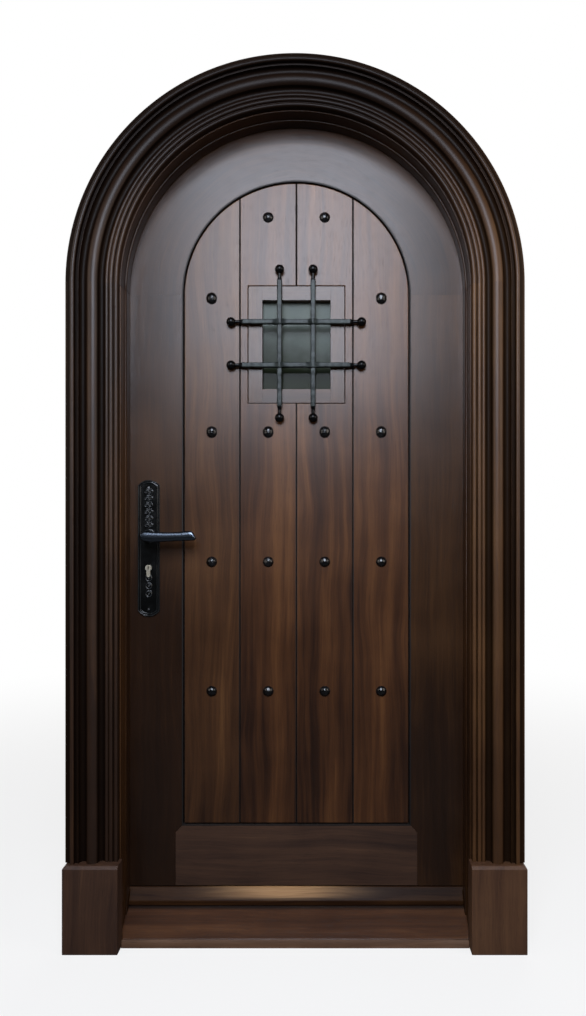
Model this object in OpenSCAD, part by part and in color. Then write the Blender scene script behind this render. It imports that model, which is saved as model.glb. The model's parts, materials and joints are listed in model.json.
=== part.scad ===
// Arched plank entry door in its frame, with moulded casing, sill, grille light and mortise lock.
// X runs to the right, Y into the house, Z up. Y = 0 is the wall face behind the casing.

/* [Leaf] */
// Width of the door leaf
leaf_w = 914; // [880:2:950]
// Thickness of the stiles and rails
leaf_t = 57; // [54:1:62]
// Width of the stiles and of the arched head
stile_w = 152; // [140:1:165]
// Height of the bottom rail
rail_h = 164; // [140:1:190]
// Height of the arch centre above the floor
spring_h = 1708; // [1680:2:1760]
// Distance of the leaf's outer face behind the wall face
leaf_y = 80; // [78:1:90]
// Mitred shoulder of the bottom rail
shoulder = 21; // [15:1:26]

/* [Boards] */
// Depth of the boards' face behind the stiles
board_recess = 3; // [2:0.5:5]
// Thickness of the boards
board_t = 45; // [42:1:48]
// Open joint between two boards
board_joint = 1.2; // [0.8:0.1:2]
// Open joint round the boarded panel
panel_joint = 3; // [2:0.5:4]
// Thickness of the tongues
tongue_t = 15; // [12:1:17]
// Width of the tongues round the panel
tongue_w = 9; // [7:0.5:11]

/* [Frame] */
// Gap between the leaf and the frame
leaf_gap = 4; // [3.5:0.5:6]
// Thickness of the jambs
jamb_t = 40; // [36:1:50]
// Thickness of the jamb's front lip over the rebate
lip_t = 9; // [7:1:11]
// Distance from the wall face to the stop
stop_y = 42; // [36:1:46]
// Thickness of the stop
stop_t = 13; // [12:1:15]
// Distance between the stop and the leaf, taken up by the seal
seal_t = 3; // [2.5:0.5:4]
// Radius of the frame fixing holes
fixing_r = 4; // [3:0.5:5]
// Height of the lower frame fixing
fixing_z = 600; // [480:10:700]
// Distance between the frame fixings
fixing_pitch = 750; // [700:10:780]

/* [Casing] */
// Width of the moulded casing
casing_w = 133; // [128:1:144]
// Thickness of the moulded casing
casing_t = 39; // [37:0.5:42]
// Set-back of the casing from the jamb's edge
casing_reveal = 3; // [2:0.5:5]
// Height of the plinth blocks
plinth_h = 224; // [180:2:280]
// Thickness of the plinth blocks
plinth_t = 50; // [44:1:60]
// Chamfer on the plinth blocks
plinth_chamfer = 7; // [5:1:12]
// Distance that the plinth blocks stand out beyond the casing
plinth_over = 1; // [0:1:8]

/* [Sill] */
// Height of the sill under the saddle
sill_h = 72; // [60:1:84]
// Projection of the sill in front of the wall face
sill_front = 8; // [4:1:14]
// Height of the sill's front edge and of the shoe strip
shoe_h = 19; // [12:0.5:24]
// Thickness of the shoe strip at its foot
shoe_t = 9; // [6:0.5:12]
// Thickness of the shoe strip at its top
shoe_top = 2.5; // [2:0.5:5]
// Thickness of the threshold saddle
saddle_t = 42.5; // [36:0.5:48]
// Height of the saddle's upright front edge
saddle_lip = 12; // [8:0.5:16]
// Front edge of the saddle, behind the wall face
saddle_y = 62; // [56:1:68]
// Gap between the saddle and the leaf
foot_gap = 3; // [2.5:0.5:5]

/* [Studs] */
// Radius of the domed stud heads
clavo_r = 14.5; // [11:0.5:17]
// Height of the domed stud heads
clavo_h = 9; // [7:0.5:11]
// Radius of the stud and ball shanks
shank_r = 3; // [2.5:0.5:4]
// Length of the stud and ball shanks in the boards
shank_l = 27.5; // [24:0.5:32]
// Distance from the light's centre down to the upper full row of studs
clavo_below = 237; // [225:1:250]
// Distance between the three full rows
clavo_pitch = 349; // [330:1:360]
// Height of the outer pair beside the light, from the arch centre
clavo_side = -9; // [-20:1:5]
// Height of the top pair, from the arch centre
clavo_top = 210; // [195:1:225]

/* [Light] */
// Distance of the light's centre below the arch centre
light_drop = 133; // [123:1:143]
// Share of the two middle boards' width that the sash takes
sash_share = 0.846; // [0.82:0.002:0.86]
// Height of the sash
sash_h = 314; // [306:2:322]
// Width of the sash members
sash_m = 37; // [33:1:42]
// Open gap round the sash
sash_gap = 1.5; // [1.2:0.1:2.5]
// Width of the lip behind the boards
sash_lip = 10; // [8:0.5:10]
// Thickness of the glass
glass_t = 4; // [3:0.5:6]
// Rebate that holds the glass
glass_rebate = 8; // [6:0.5:10]
// Height of the sash hinges
sash_hinge_h = 50; // [44:1:56]
// Width of one leaf of the sash hinges
sash_hinge_w = 26; // [22:1:30]

/* [Grille] */
// Side of the square grille bars
bar_a = 13; // [10:0.5:13]
// Distance between the upright bars
bar_dx = 90; // [80:1:100]
// Distance between the level bars
bar_dz = 116; // [104:1:126]
// Radius of the ball ends
ball_r = 12.5; // [11:0.5:14]
// Distance of an upright bar's ball centres beyond the sash
upright_over = 42; // [38:1:48]
// Distance of a level bar's ball centres beyond the sash
level_over = 46; // [44:1:53]
// Radius of the swollen eyes
eye_r = 11; // [10:0.5:12]
// Radius of the thin necks
neck_r = 5; // [4:0.5:6]

/* [Lock] */
// Distance from the leaf's edge to the lever axis
backset = 60; // [55:1:64]
// Height of the lever axis
lever_z = 1058; // [1040:1:1070]
// Distance from the lever axis down to the cylinder
cylinder_drop = 85; // [84:1:88]
// Width of the handle plates
plate_w = 59; // [54:1:64]
// Height of the handle plates
plate_h = 367; // [350:1:380]
// Thickness of the handle plates
plate_t = 6; // [5:0.5:8]
// Length of the lever from its axis to the tip
lever_len = 135; // [120:1:145]
// Thickness of the lever
lever_t = 16; // [14:1:18]
// Gap between the lever and its plate
lever_gap = 36; // [32:1:44]
// Throw of the latch
latch_throw = 12; // [10:0.5:12]
// Throw of the dead bolt
bolt_throw = 20; // [16:1:20]

/* [Hinges] */
// Height of the butt hinges
hinge_h = 100; // [90:5:110]
// Radius of the knuckles
knuckle_r = 6.5; // [6:0.25:6.75]
// Radius of the hinge pins
pin_r = 3.5; // [3:0.25:4]
// Height of the lowest hinge's centre
hinge_z = 330; // [310:5:400]
// Distance of the top hinge's centre below the arch centre
hinge_top = 138; // [120:2:160]

/* [Fits] */
// Radial clearance of turning fits
run_c = 0.05; // [0.03:0.01:0.08]
// Clearance of sliding bolts and fitted pieces
fit_c = 0.3; // [0.2:0.05:0.5]

/* [Hidden] */
$fn = 64;
leaf_r = leaf_w / 2;
leaf_base = sill_h + saddle_t + foot_gap;
leaf_back = leaf_y + leaf_t;
leaf_mid = leaf_y + leaf_t / 2;
panel_r = leaf_r - stile_w;
rail_top = leaf_base + rail_h;
board_y = leaf_y + board_recess;
board_back = board_y + board_t;
board_w = panel_r / 2;
tongue_y = leaf_mid - 3 - tongue_t / 2;
groove_d = tongue_w + 1;
rebate_r = leaf_r + leaf_gap;
jamb_in = rebate_r - lip_t;
jamb_out = rebate_r + jamb_t;
stop_in = rebate_r - stop_t;
stop_back = leaf_y - seal_t;
casing_in = jamb_in + casing_reveal;
casing_out = casing_in + casing_w;
casing_k = casing_w / 133;
casing_v = casing_t / 39;
plinth_in = stop_in;
plinth_out = casing_out + plinth_over;
sill_half = stop_in - fit_c;
saddle_under = 2;
light_z = spring_h - light_drop;
clavo_z = light_z - clavo_below;
half_w = board_w * sash_share;
half_h = sash_h / 2;
upright_len = sash_h + upright_over * 2;
level_len = (half_w + level_over) * 2;
open_w = half_w - sash_m;
open_h = half_h - sash_m;
lip_y = board_y + 22;
glass_y = lip_y + 3;
bar_y = board_y - ball_r;
lever_x = -leaf_r + backset;
cyl_z = lever_z - cylinder_drop;
plate_z = lever_z - 32;
case_d = 90;
case_t = 16;
case_wall = 1.5;
case_lo = cyl_z - 43;
case_hi = lever_z + 42;
forend_t = 3;
forend_w = 22;
latch_z = lever_z + 20;
bolt_z = cyl_z + 35;
hub_r = 9;
neck_out_r = 10;
spindle_a = 8;
hinge_pitch = (spring_h - hinge_top - hinge_z) / 2;
pin_x = leaf_r + leaf_gap / 2;
pin_y = leaf_back + 7;
hinge_t = 2.5;
hinge_in = 40;
sash_pin_x = half_w + sash_lip + 1.5;
sash_pin_y = board_back + 4;
sash_knuckle = 3.7;
swing_relief = (sash_pin_y - board_y) / (half_w * 2 + sash_lip) * (lip_y - board_y) + fit_c;
button_x = -(half_w + sash_lip + 24);

// Runs a section given as radius and distance towards the viewer up one side.
module leg(z0, z1) {
  mirror([0, 1, 0])
    translate([0, 0, z0])
      linear_extrude(height = z1 - z0)
        children();
}

// Carries the same section over the arch.
module arch() {
  translate([0, 0, spring_h])
    rotate([90, 0, 0])
      rotate_extrude(angle = 180)
        children();
}

// Extrudes an outline drawn in X and Z from depth y0 to depth y1.
module deep(y0, y1) {
  translate([0, y1, 0])
    rotate([90, 0, 0])
      linear_extrude(height = y1 - y0)
        children();
}

module box(x0, x1, y0, y1, z0, z1) {
  translate([x0, y0, z0])
    cube([x1 - x0, y1 - y0, z1 - z0]);
}

// Round bar along X, Y or Z.
module rod_x(x0, x1, y, z, r) {
  translate([x0, y, z])
    rotate([0, 90, 0])
      cylinder(h = x1 - x0, r = r);
}

module rod_y(x, y0, y1, z, r) {
  translate([x, y1, z])
    rotate([90, 0, 0])
      cylinder(h = y1 - y0, r = r);
}

module rod_z(x, y, z0, z1, r) {
  translate([x, y, z0])
    cylinder(h = z1 - z0, r = r);
}

// Frame

module jamb_section() {
  polygon([[jamb_in, 0], [jamb_out, 0], [jamb_out, -leaf_back], [rebate_r, -leaf_back],
           [rebate_r, -stop_y], [jamb_in, -stop_y]]);
}

module stop_section() {
  polygon([[stop_in + 2, -stop_y], [rebate_r, -stop_y], [rebate_r, -stop_back],
           [stop_in, -stop_back], [stop_in, -stop_y - 2]]);
}

module seal_section() {
  polygon([[stop_in + 2, -stop_back], [rebate_r - 1, -stop_back],
           [rebate_r - 1, -leaf_y + 2], [rebate_r - 5, -leaf_y + 0.3],
           [stop_in + 4, -leaf_y + 0.3], [stop_in + 2, -leaf_y + 1]]);
}

module jamb_leg() {
  difference() {
    leg(0, spring_h)
      jamb_section();
    for (z = [fixing_z, fixing_z + fixing_pitch])
      rod_x(rebate_r - 1, jamb_out + 1, leaf_mid, z, fixing_r);
  }
}

// Pocket behind the strike for the latch and the dead bolt.
module strike_pocket() {
  for (p = strike_holes())
    box(-rebate_r - bolt_throw - 4, -rebate_r + 1, leaf_mid - p[1], leaf_mid + p[1],
        p[0] - p[2], p[0] + p[2]);
  box(-rebate_r - 2, -rebate_r + 1, leaf_mid - 13, leaf_mid + 13, case_lo - 12, case_hi + 12);
}

// Height, half width and half height of the two strike openings.
function strike_holes() = [[latch_z, 8, 12], [bolt_z, 9, 14]];

function strike_screw_z() = [case_lo - 3, case_hi + 3];

module jamb_left() {
  color("saddlebrown")
    difference() {
      mirror([1, 0, 0])
        jamb_leg();
      strike_pocket();
      for (z = strike_screw_z())
        rod_x(-rebate_r - 22, -rebate_r, leaf_mid, z, 2);
    }
}

module jamb_right() {
  color("saddlebrown")
    difference() {
      jamb_leg();
      hinge_plate_places()
        box(rebate_r - 1, rebate_r + hinge_t, leaf_back - hinge_in, leaf_back + 1, 0, hinge_h);
      hinge_screw_places()
        rod_x(rebate_r, rebate_r + 26, 0, 0, 2);
    }
}

module jamb_arch() {
  color("saddlebrown")
    arch()
      jamb_section();
}

module stop_right() {
  color("sienna")
    leg(0, spring_h)
      stop_section();
}

module stop_left() {
  color("sienna")
    mirror([1, 0, 0])
      leg(0, spring_h)
        stop_section();
}

module stop_arch() {
  color("sienna")
    arch()
      stop_section();
}

module frame_seal() {
  color("black") {
    leg(sill_h + saddle_t, spring_h)
      seal_section();
    mirror([1, 0, 0])
      leg(sill_h + saddle_t, spring_h)
        seal_section();
    arch()
      seal_section();
  }
}

// Runs a section up the right side or over the arch.
module run(over) {
  if (over)
    arch()
      children();
  else
    leg(plinth_h, spring_h)
      children();
}

module casing_round(over, u, v, r) {
  run(over)
    translate([casing_in + u * casing_k, v * casing_v])
      circle(r = r * casing_v);
}

// Moulded casing: three beads, a deep cove, a torus, a hollow, a fillet, a bead and a sloping edge.
module casing(over) {
  difference() {
    union() {
      run(over)
        translate([casing_in, 0])
          scale([casing_k, casing_v])
            polygon([[1, 0], [1, 16], [34, 17], [34, 24], [84, 24], [84, 33], [99, 33], [99, 26],
                     [107, 26], [107, 33], [118.5, 33], [118.5, 31], [133, 24], [133, 0]]);
      casing_round(over, 5.3, 16.4, 5.2);
      casing_round(over, 18.3, 16.4, 5.6);
      casing_round(over, 29, 17.4, 4.6);
      casing_round(over, 63.5, 18.5, 17.5);
      casing_round(over, 112.8, 33.3, 5.7);
    }
    casing_round(over, 40.5, 22, 8);
    casing_round(over, 87.5, 27, 9.5);
    run(over)
      translate([casing_in + 50 * casing_k, -1])
        square([32 * casing_k, 4]);
  }
}

module casing_right() {
  color("saddlebrown")
    casing(false);
}

module casing_left() {
  color("saddlebrown")
    mirror([1, 0, 0])
      casing(false);
}

module casing_arch() {
  color("saddlebrown")
    casing(true);
}

// Plinth block with its front and outer top edges chamfered.
module plinth_right() {
  color("saddlebrown")
    difference() {
      box(plinth_in, plinth_out, -plinth_t, 0, 0, plinth_h);
      translate([plinth_in - 1, -plinth_t, plinth_h - plinth_chamfer])
        rotate([45, 0, 0])
          cube([plinth_out - plinth_in + 2, plinth_chamfer * 2, plinth_chamfer * 2]);
      translate([plinth_out, -plinth_t - 1, plinth_h - plinth_chamfer])
        rotate([0, -45, 0])
          cube([plinth_chamfer * 2, plinth_t + 2, plinth_chamfer * 2]);
    }
}

module plinth_left() {
  color("saddlebrown")
    mirror([1, 0, 0])
      plinth_right();
}

// Plan of the sill and the saddle, notched round the jambs and stops.
module sill_plan() {
  polygon([[-sill_half, -sill_front], [sill_half, -sill_front], [sill_half, 0], [jamb_in, 0],
           [jamb_in, stop_y], [sill_half, stop_y], [sill_half, stop_back], [rebate_r, stop_back],
           [rebate_r, leaf_back], [-rebate_r, leaf_back], [-rebate_r, stop_back],
           [-sill_half, stop_back], [-sill_half, stop_y], [-jamb_in, stop_y], [-jamb_in, 0],
           [-sill_half, 0]]);
}

// Weathered sill that rises from its front edge to the saddle.
module sill() {
  color("saddlebrown")
    intersection() {
      run_across(rebate_r)
        polygon([[-sill_front, 0], [leaf_back, 0], [leaf_back, sill_h], [saddle_y, sill_h],
                 [-sill_front, shoe_h]]);
      linear_extrude(height = sill_h)
        sill_plan();
    }
}

// Carries a section in Y and Z across the opening.
module run_across(half) {
  translate([-half, 0, 0])
    rotate([90, 0, 90])
      linear_extrude(height = half * 2)
        children();
}

module sill_shoe() {
  color("sienna")
    run_across(sill_half)
      polygon([[-sill_front - shoe_t, 0], [-sill_front, 0], [-sill_front, shoe_h],
               [-sill_front - shoe_top, shoe_h], [-sill_front - shoe_t, shoe_h * 0.2]]);
}

// Threshold with a bevelled front that ends just under the leaf, which closes over its back part.
module saddle() {
  top = sill_h + saddle_t;
  color("peru")
    intersection() {
      run_across(rebate_r)
        polygon([[saddle_y, sill_h], [leaf_back, sill_h], [leaf_back, top],
                 [leaf_y + saddle_under, top], [saddle_y, sill_h + saddle_lip]]);
      linear_extrude(height = top)
        sill_plan();
    }
}

module strike_plate() {
  color("dimgray")
    difference() {
      box(-rebate_r - 2, -rebate_r, leaf_mid - 13, leaf_mid + 13, case_lo - 12, case_hi + 12);
      for (p = strike_holes())
        box(-rebate_r - 3, -rebate_r + 1, leaf_mid - p[1] + 1, leaf_mid + p[1] - 1,
            p[0] - p[2] + 1, p[0] + p[2] - 1);
      for (z = strike_screw_z())
        strike_screw(z);
    }
}

module strike_screw(z) {
  rod_x(-rebate_r - 22, -rebate_r - 1, leaf_mid, z, 2);
  rod_x(-rebate_r - 1.2, -rebate_r, leaf_mid, z, 4);
}

// Hinges

module hinge_plate_places() {
  for (i = [0:2])
    translate([0, 0, hinge_z + hinge_pitch * i - hinge_h / 2])
      children();
}

module hinge_screw_places() {
  hinge_plate_places()
    for (p = [[12, 0.16], [26, 0.5], [12, 0.84]])
      translate([0, leaf_back - p[0], hinge_h * p[1]])
        children();
}

// Knuckles of one leaf: every second one of five.
module knuckles(first, r) {
  for (i = [first:2:4])
    rod_z(pin_x, pin_y, hinge_h * i / 5 + fit_c / 2, hinge_h * (i + 1) / 5 - fit_c / 2, r);
}

// Strip that joins a plate to its own knuckles.
module knuckle_straps(first, x0) {
  for (i = [first:2:4])
    box(x0, x0 + hinge_t, leaf_back - 1, pin_y, hinge_h * i / 5 + fit_c / 2,
        hinge_h * (i + 1) / 5 - fit_c / 2);
}

module hinge_half(first, x0, bore_r) {
  hinge_plate_places()
    difference() {
      union() {
        box(x0, x0 + hinge_t, leaf_back - hinge_in, leaf_back, 0, hinge_h);
        knuckles(first, knuckle_r);
        knuckle_straps(first, x0);
      }
      rod_z(pin_x, pin_y, -1, hinge_h + 1, bore_r);
      for (p = [[12, 0.16], [26, 0.5], [12, 0.84]])
        translate([0, leaf_back - p[0], hinge_h * p[1]])
          hinge_screw(x0);
    }
}

// Countersunk screw seen from the gap, either way round.
module hinge_screw(x0) {
  if (x0 > pin_x) {
    rod_x(x0, x0 + 1.3, 0, 0, 4);
    rod_x(x0 + 1, x0 + 26 - 0.5, 0, 0, 2);
  } else {
    rod_x(x0 + hinge_t - 1.3, x0 + hinge_t, 0, 0, 4);
    rod_x(x0 + hinge_t - 25.5, x0 + hinge_t - 1, 0, 0, 2);
  }
}

module hinge_jamb_leaves() {
  color("dimgray")
    hinge_half(0, rebate_r, pin_r + 0.02);
}

module hinge_door_leaves() {
  color("dimgray")
    hinge_half(1, leaf_r - hinge_t, pin_r + run_c);
}

module hinge_pins() {
  color("gray")
    hinge_plate_places() {
      rod_z(pin_x, pin_y, -1, hinge_h + 1, pin_r);
      rod_z(pin_x, pin_y, hinge_h + fit_c, hinge_h + 4, pin_r + 2);
      rod_z(pin_x, pin_y, -4, -fit_c, pin_r + 2);
    }
}

module frame_screws() {
  color("gray") {
    hinge_screw_places()
      hinge_screw(rebate_r);
    for (z = strike_screw_z())
      strike_screw(z);
  }
}

module leaf_screws() {
  color("gray") {
    hinge_screw_places()
      hinge_screw(leaf_r - hinge_t);
    for (z = forend_screw_z())
      forend_screw(z);
  }
}

// Leaf

module rail_section() {
  polygon([[panel_r, -leaf_y], [leaf_r, -leaf_y], [leaf_r, -leaf_back], [panel_r, -leaf_back],
           [panel_r, -tongue_y - tongue_t - 0.3], [panel_r + groove_d, -tongue_y - tongue_t - 0.3],
           [panel_r + groove_d, -tongue_y + 0.3], [panel_r, -tongue_y + 0.3]]);
}

// Stile with the shoulder of the bottom rail cut from its foot.
module stile() {
  difference() {
    leg(leaf_base, spring_h)
      rail_section();
    deep(leaf_y - 1, leaf_back + 1)
      polygon([[panel_r - 1, rail_top + 1], [panel_r + shoulder, rail_top - shoulder],
               [panel_r + shoulder, leaf_base - 1], [panel_r - 1, leaf_base - 1]]);
    sweep_groove();
  }
}

module sweep_groove() {
  box(-leaf_r + 8, leaf_r - 8, leaf_mid - 4, leaf_mid + 4, leaf_base - 1, leaf_base + 8);
}

module stile_right() {
  color("sienna")
    difference() {
      stile();
      hinge_plate_places()
        box(leaf_r - hinge_t, leaf_r + 1, leaf_back - hinge_in, leaf_back + 1, 0, hinge_h);
      hinge_screw_places()
        rod_x(leaf_r - 26, leaf_r, 0, 0, 2);
    }
}

module stile_left() {
  color("sienna")
    difference() {
      mirror([1, 0, 0])
        stile();
      box(-leaf_r - 1, -leaf_r + forend_t, leaf_mid - forend_w / 2, leaf_mid + forend_w / 2,
          case_lo - 15, case_hi + 15);
      box(-leaf_r, -leaf_r + forend_t + case_d + fit_c, leaf_mid - case_t / 2 - fit_c,
          leaf_mid + case_t / 2 + fit_c, case_lo - fit_c, case_hi + fit_c);
      rod_y(lever_x, leaf_y - 1, leaf_back + 1, lever_z, neck_out_r + 3);
      deep(leaf_y - 1, leaf_back + 1)
        cylinder_outline(0.6);
      for (z = plate_screw_z())
        rod_y(lever_x, leaf_y - 1, leaf_back + 1, z, 3.2);
      for (z = forend_screw_z())
        rod_x(-leaf_r, -leaf_r + 26, leaf_mid, z, 2);
    }
}

module arch_head() {
  color("sienna")
    arch()
      rail_section();
}

module bottom_rail() {
  color("sienna")
    difference() {
      deep(leaf_y, leaf_back)
        polygon([[-panel_r, rail_top], [panel_r, rail_top],
                 [panel_r + shoulder, rail_top - shoulder], [panel_r + shoulder, leaf_base],
                 [-panel_r - shoulder, leaf_base], [-panel_r - shoulder, rail_top - shoulder]]);
      box(-panel_r - groove_d, panel_r + groove_d, tongue_y - 0.3, tongue_y + tongue_t + 0.3,
          rail_top - groove_d, rail_top + 1);
      sweep_groove();
    }
}

module bottom_sweep() {
  color("black")
    box(-leaf_r + 9, leaf_r - 9, leaf_mid - 4, leaf_mid + 4, leaf_base - foot_gap + 0.5,
        leaf_base + 8);
}

// Outline of the whole panel, grown by d beyond the sight line.
module panel_outline(d) {
  translate([0, spring_h])
    circle(r = panel_r + d);
  translate([-panel_r - d, rail_top - d])
    square([(panel_r + d) * 2, spring_h - rail_top + d]);
}

module strip(x0, x1) {
  translate([x0, leaf_base])
    square([x1 - x0, spring_h + panel_r + 40 - leaf_base]);
}

// One board: full body, tongue into the frame, tongue to the right and groove on the left.
module board(i) {
  x0 = i == 0 ? -panel_r - tongue_w : -panel_r + board_w * i + board_joint / 2;
  x1 = i == 3 ? panel_r + tongue_w : -panel_r + board_w * (i + 1) - board_joint / 2;
  difference() {
    union() {
      deep(board_y, board_back)
        intersection() {
          panel_outline(-panel_joint);
          strip(x0, x1);
        }
      deep(tongue_y, tongue_y + tongue_t)
        intersection() {
          panel_outline(tongue_w);
          strip(x0, x1);
        }
      if (i < 3)
        deep(tongue_y + 0.3, tongue_y + tongue_t - 0.3)
          intersection() {
            panel_outline(tongue_w);
            strip(x1 - 1, x1 + 7);
          }
    }
    if (i > 0)
      deep(tongue_y - 0.1, tongue_y + tongue_t + 0.1)
        strip(x0 - 1, x0 + 8);
    if (i == 1 || i == 2)
      light_hole();
    stud_holes();
  }
}

// Stepped hole that the sash closes into from behind; its free side is bevelled for the swing.
module light_hole() {
  side = -half_w - sash_gap;
  translate([0, 0, light_z - half_h - sash_gap])
    linear_extrude(height = sash_h + sash_gap * 2)
      polygon([[side, board_y - 1], [-side, board_y - 1], [-side, board_back + 1],
               [side - swing_relief, board_back + 1], [side - swing_relief, lip_y], [side, board_y]]);
  box(-half_w - sash_lip - 3, half_w + sash_lip + 3, lip_y - 0.4, board_back + 1,
      light_z - half_h - sash_lip - 3, light_z + half_h + sash_lip + 3);
}

module stud_holes() {
  clavo_places()
    rod_y(0, board_y - 1, board_y + shank_l + 0.5, 0, shank_r + run_c);
  for (s = [-1, 1]) {
    for (z = [-1, 1])
      rod_y(s * bar_dx / 2, board_y - 1, board_y + shank_l + 0.5, light_z + z * upright_len / 2,
            shank_r + run_c);
    for (z = [-1, 1])
      rod_y(s * level_len / 2, board_y - 1, board_y + shank_l + 0.5, light_z + z * bar_dz / 2,
            shank_r + run_c);
  }
  rod_y(button_x, board_y + 20, board_back + 1, light_z, 2.5);
}

module board_1() {
  color("peru")
    board(0);
}

module board_2() {
  color("peru")
    board(1);
}

module board_3() {
  color("peru")
    board(2);
}

module board_4() {
  color("peru")
    board(3);
}

module clavo_places() {
  for (s = [-1, 1]) {
    for (i = [0:2])
      for (k = [0.5, 1.5])
        translate([s * board_w * k, 0, clavo_z - clavo_pitch * i])
          children();
    translate([s * board_w * 1.5, 0, spring_h + clavo_side])
      children();
    translate([s * board_w * 0.5, 0, spring_h + clavo_top])
      children();
  }
}

module clavos() {
  dome_r = (clavo_r * clavo_r + clavo_h * clavo_h) / (2 * clavo_h);
  color("black")
    clavo_places() {
      translate([0, board_y, 0])
        rotate([90, 0, 0])
          rotate_extrude()
            intersection() {
              translate([0, clavo_h - dome_r])
                circle(r = dome_r);
              square([clavo_r + 1, clavo_h + 1]);
            }
      rod_y(0, board_y - 1, board_y + shank_l, 0, shank_r);
    }
}

// Grille

// Ball with its poles along Z, or along X where lying is 1, and the pin that holds it to the boards.
module ball_end(x, z, lying) {
  translate([x, bar_y, z])
    rotate([0, lying * 90, 0])
      sphere(r = ball_r);
  rod_y(x, bar_y, board_y + shank_l, z, shank_r);
}

module upright(x) {
  half = upright_len / 2;
  for (s = [-1, 1])
    ball_end(x, light_z + s * half, 0);
  rod_z(x, bar_y, light_z - half, light_z + half, neck_r);
  box(x - bar_a / 2, x + bar_a / 2, bar_y - bar_a / 2, bar_y + bar_a / 2,
      light_z - half + ball_r + 8, light_z + half - ball_r - 8);
}

// Level bar with a swollen eye where each upright passes through it.
module level(z) {
  half = level_len / 2;
  hole = bar_a / 2 + 0.15;
  for (s = [-1, 1])
    ball_end(s * half, z, 1);
  difference() {
    union() {
      rod_x(-half, half, bar_y, z, neck_r);
      box(-half + ball_r + 8, half - ball_r - 8, bar_y - bar_a / 2, bar_y + bar_a / 2,
          z - bar_a / 2, z + bar_a / 2);
      for (s = [-1, 1])
        translate([s * bar_dx / 2, bar_y, z - bar_a / 2 - 1])
          rotate([0, 0, 90])
            cylinder(h = bar_a + 2, r = eye_r);
    }
    for (s = [-1, 1])
      box(s * bar_dx / 2 - hole, s * bar_dx / 2 + hole, bar_y - hole, bar_y + hole, z - 20, z + 20);
  }
}

module grille_left() {
  color("black")
    upright(-bar_dx / 2);
}

module grille_right() {
  color("black")
    upright(bar_dx / 2);
}

module grille_upper() {
  color("black")
    level(light_z + bar_dz / 2);
}

module grille_lower() {
  color("black")
    level(light_z - bar_dz / 2);
}

// Sash that opens inwards behind the grille

module frame_outline(w, h, w2, h2) {
  difference() {
    translate([-w, light_z - h])
      square([w * 2, h * 2]);
    translate([-w2, light_z - h2])
      square([w2 * 2, h2 * 2]);
  }
}

module sash_ring() {
  deep(board_y, lip_y)
    frame_outline(half_w, half_h, open_w, open_h);
  deep(lip_y, glass_y)
    frame_outline(half_w + sash_lip, half_h + sash_lip, open_w, open_h);
  deep(glass_y, board_back)
    frame_outline(half_w + sash_lip, half_h + sash_lip, open_w + glass_rebate,
                  open_h + glass_rebate);
}

module sash_cut(x0, x1, z0, z1) {
  intersection() {
    sash_ring();
    box(x0, x1, board_y - 1, board_back + 1, z0, z1);
  }
}

module sash_left() {
  color("sienna")
    sash_cut(-half_w - sash_m, -open_w, light_z - sash_h, light_z + sash_h);
}

module sash_right() {
  color("sienna")
    sash_cut(open_w, half_w + sash_m, light_z - sash_h, light_z + sash_h);
}

// Rail of the sash in Y and Z, measured up or down from the light's centre.
module sash_rail() {
  translate([-open_w, 0, 0])
    rotate([90, 0, 90])
      linear_extrude(height = open_w * 2)
        polygon([[board_y, open_h], [glass_y, open_h], [glass_y, open_h + glass_rebate],
                 [board_back, open_h + glass_rebate], [board_back, half_h + sash_lip],
                 [lip_y, half_h + sash_lip], [lip_y, half_h], [board_y, half_h]]);
}

module sash_top() {
  color("sienna")
    translate([0, 0, light_z])
      sash_rail();
}

module sash_bottom() {
  color("sienna")
    translate([0, 0, light_z])
      mirror([0, 0, 1])
        sash_rail();
}

module glass() {
  color("lightgray")
    box(-open_w - glass_rebate + fit_c, open_w + glass_rebate - fit_c, glass_y, glass_y + glass_t,
        light_z - open_h - glass_rebate + fit_c, light_z + open_h + glass_rebate - fit_c);
}

module glazing_beads() {
  w = open_w + glass_rebate;
  h = open_h + glass_rebate;
  y = glass_y + glass_t;
  color("sienna")
    for (s = [-1, 1]) {
      box(s * (w - 4) - 4, s * (w - 4) + 4, y, y + 9, light_z - h, light_z + h);
      box(-w + 8 + fit_c, w - 8 - fit_c, y, y + 9, light_z + s * (h - 4) - 4,
          light_z + s * (h - 4) + 4);
    }
}

module sash_hinge_places() {
  for (s = [-1, 1])
    translate([0, 0, light_z + s * (half_h - sash_hinge_h * 1.1) - sash_hinge_h / 2])
      children();
}

// Small surface hinge: three knuckles, the middle one on the sash.
module sash_hinge_fixed() {
  h = sash_hinge_h;
  color("dimgray")
    sash_hinge_places() {
      for (z = [0, h * 2 / 3 + fit_c / 2]) {
        rod_z(sash_pin_x, sash_pin_y, z, z + h / 3 - fit_c / 2, sash_knuckle);
        box(sash_pin_x, sash_pin_x + 6, board_back, board_back + 2, z, z + h / 3 - fit_c / 2);
      }
      rod_z(sash_pin_x, sash_pin_y, 0, h, 1.8);
      box(sash_pin_x + 4.2, sash_pin_x + sash_hinge_w, board_back, board_back + 2, 0, h);
    }
}

module sash_hinge_moving() {
  h = sash_hinge_h;
  color("dimgray")
    sash_hinge_places()
      difference() {
        union() {
          rod_z(sash_pin_x, sash_pin_y, h / 3 + fit_c / 2, h * 2 / 3 - fit_c / 2, sash_knuckle);
          box(sash_pin_x - 6, sash_pin_x, board_back, board_back + 2, h / 3 + fit_c / 2,
              h * 2 / 3 - fit_c / 2);
          box(sash_pin_x - sash_hinge_w, sash_pin_x - 4.2, board_back, board_back + 2, 0, h);
        }
        rod_z(sash_pin_x, sash_pin_y, -1, h + 1, 1.8 + run_c);
      }
}

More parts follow.
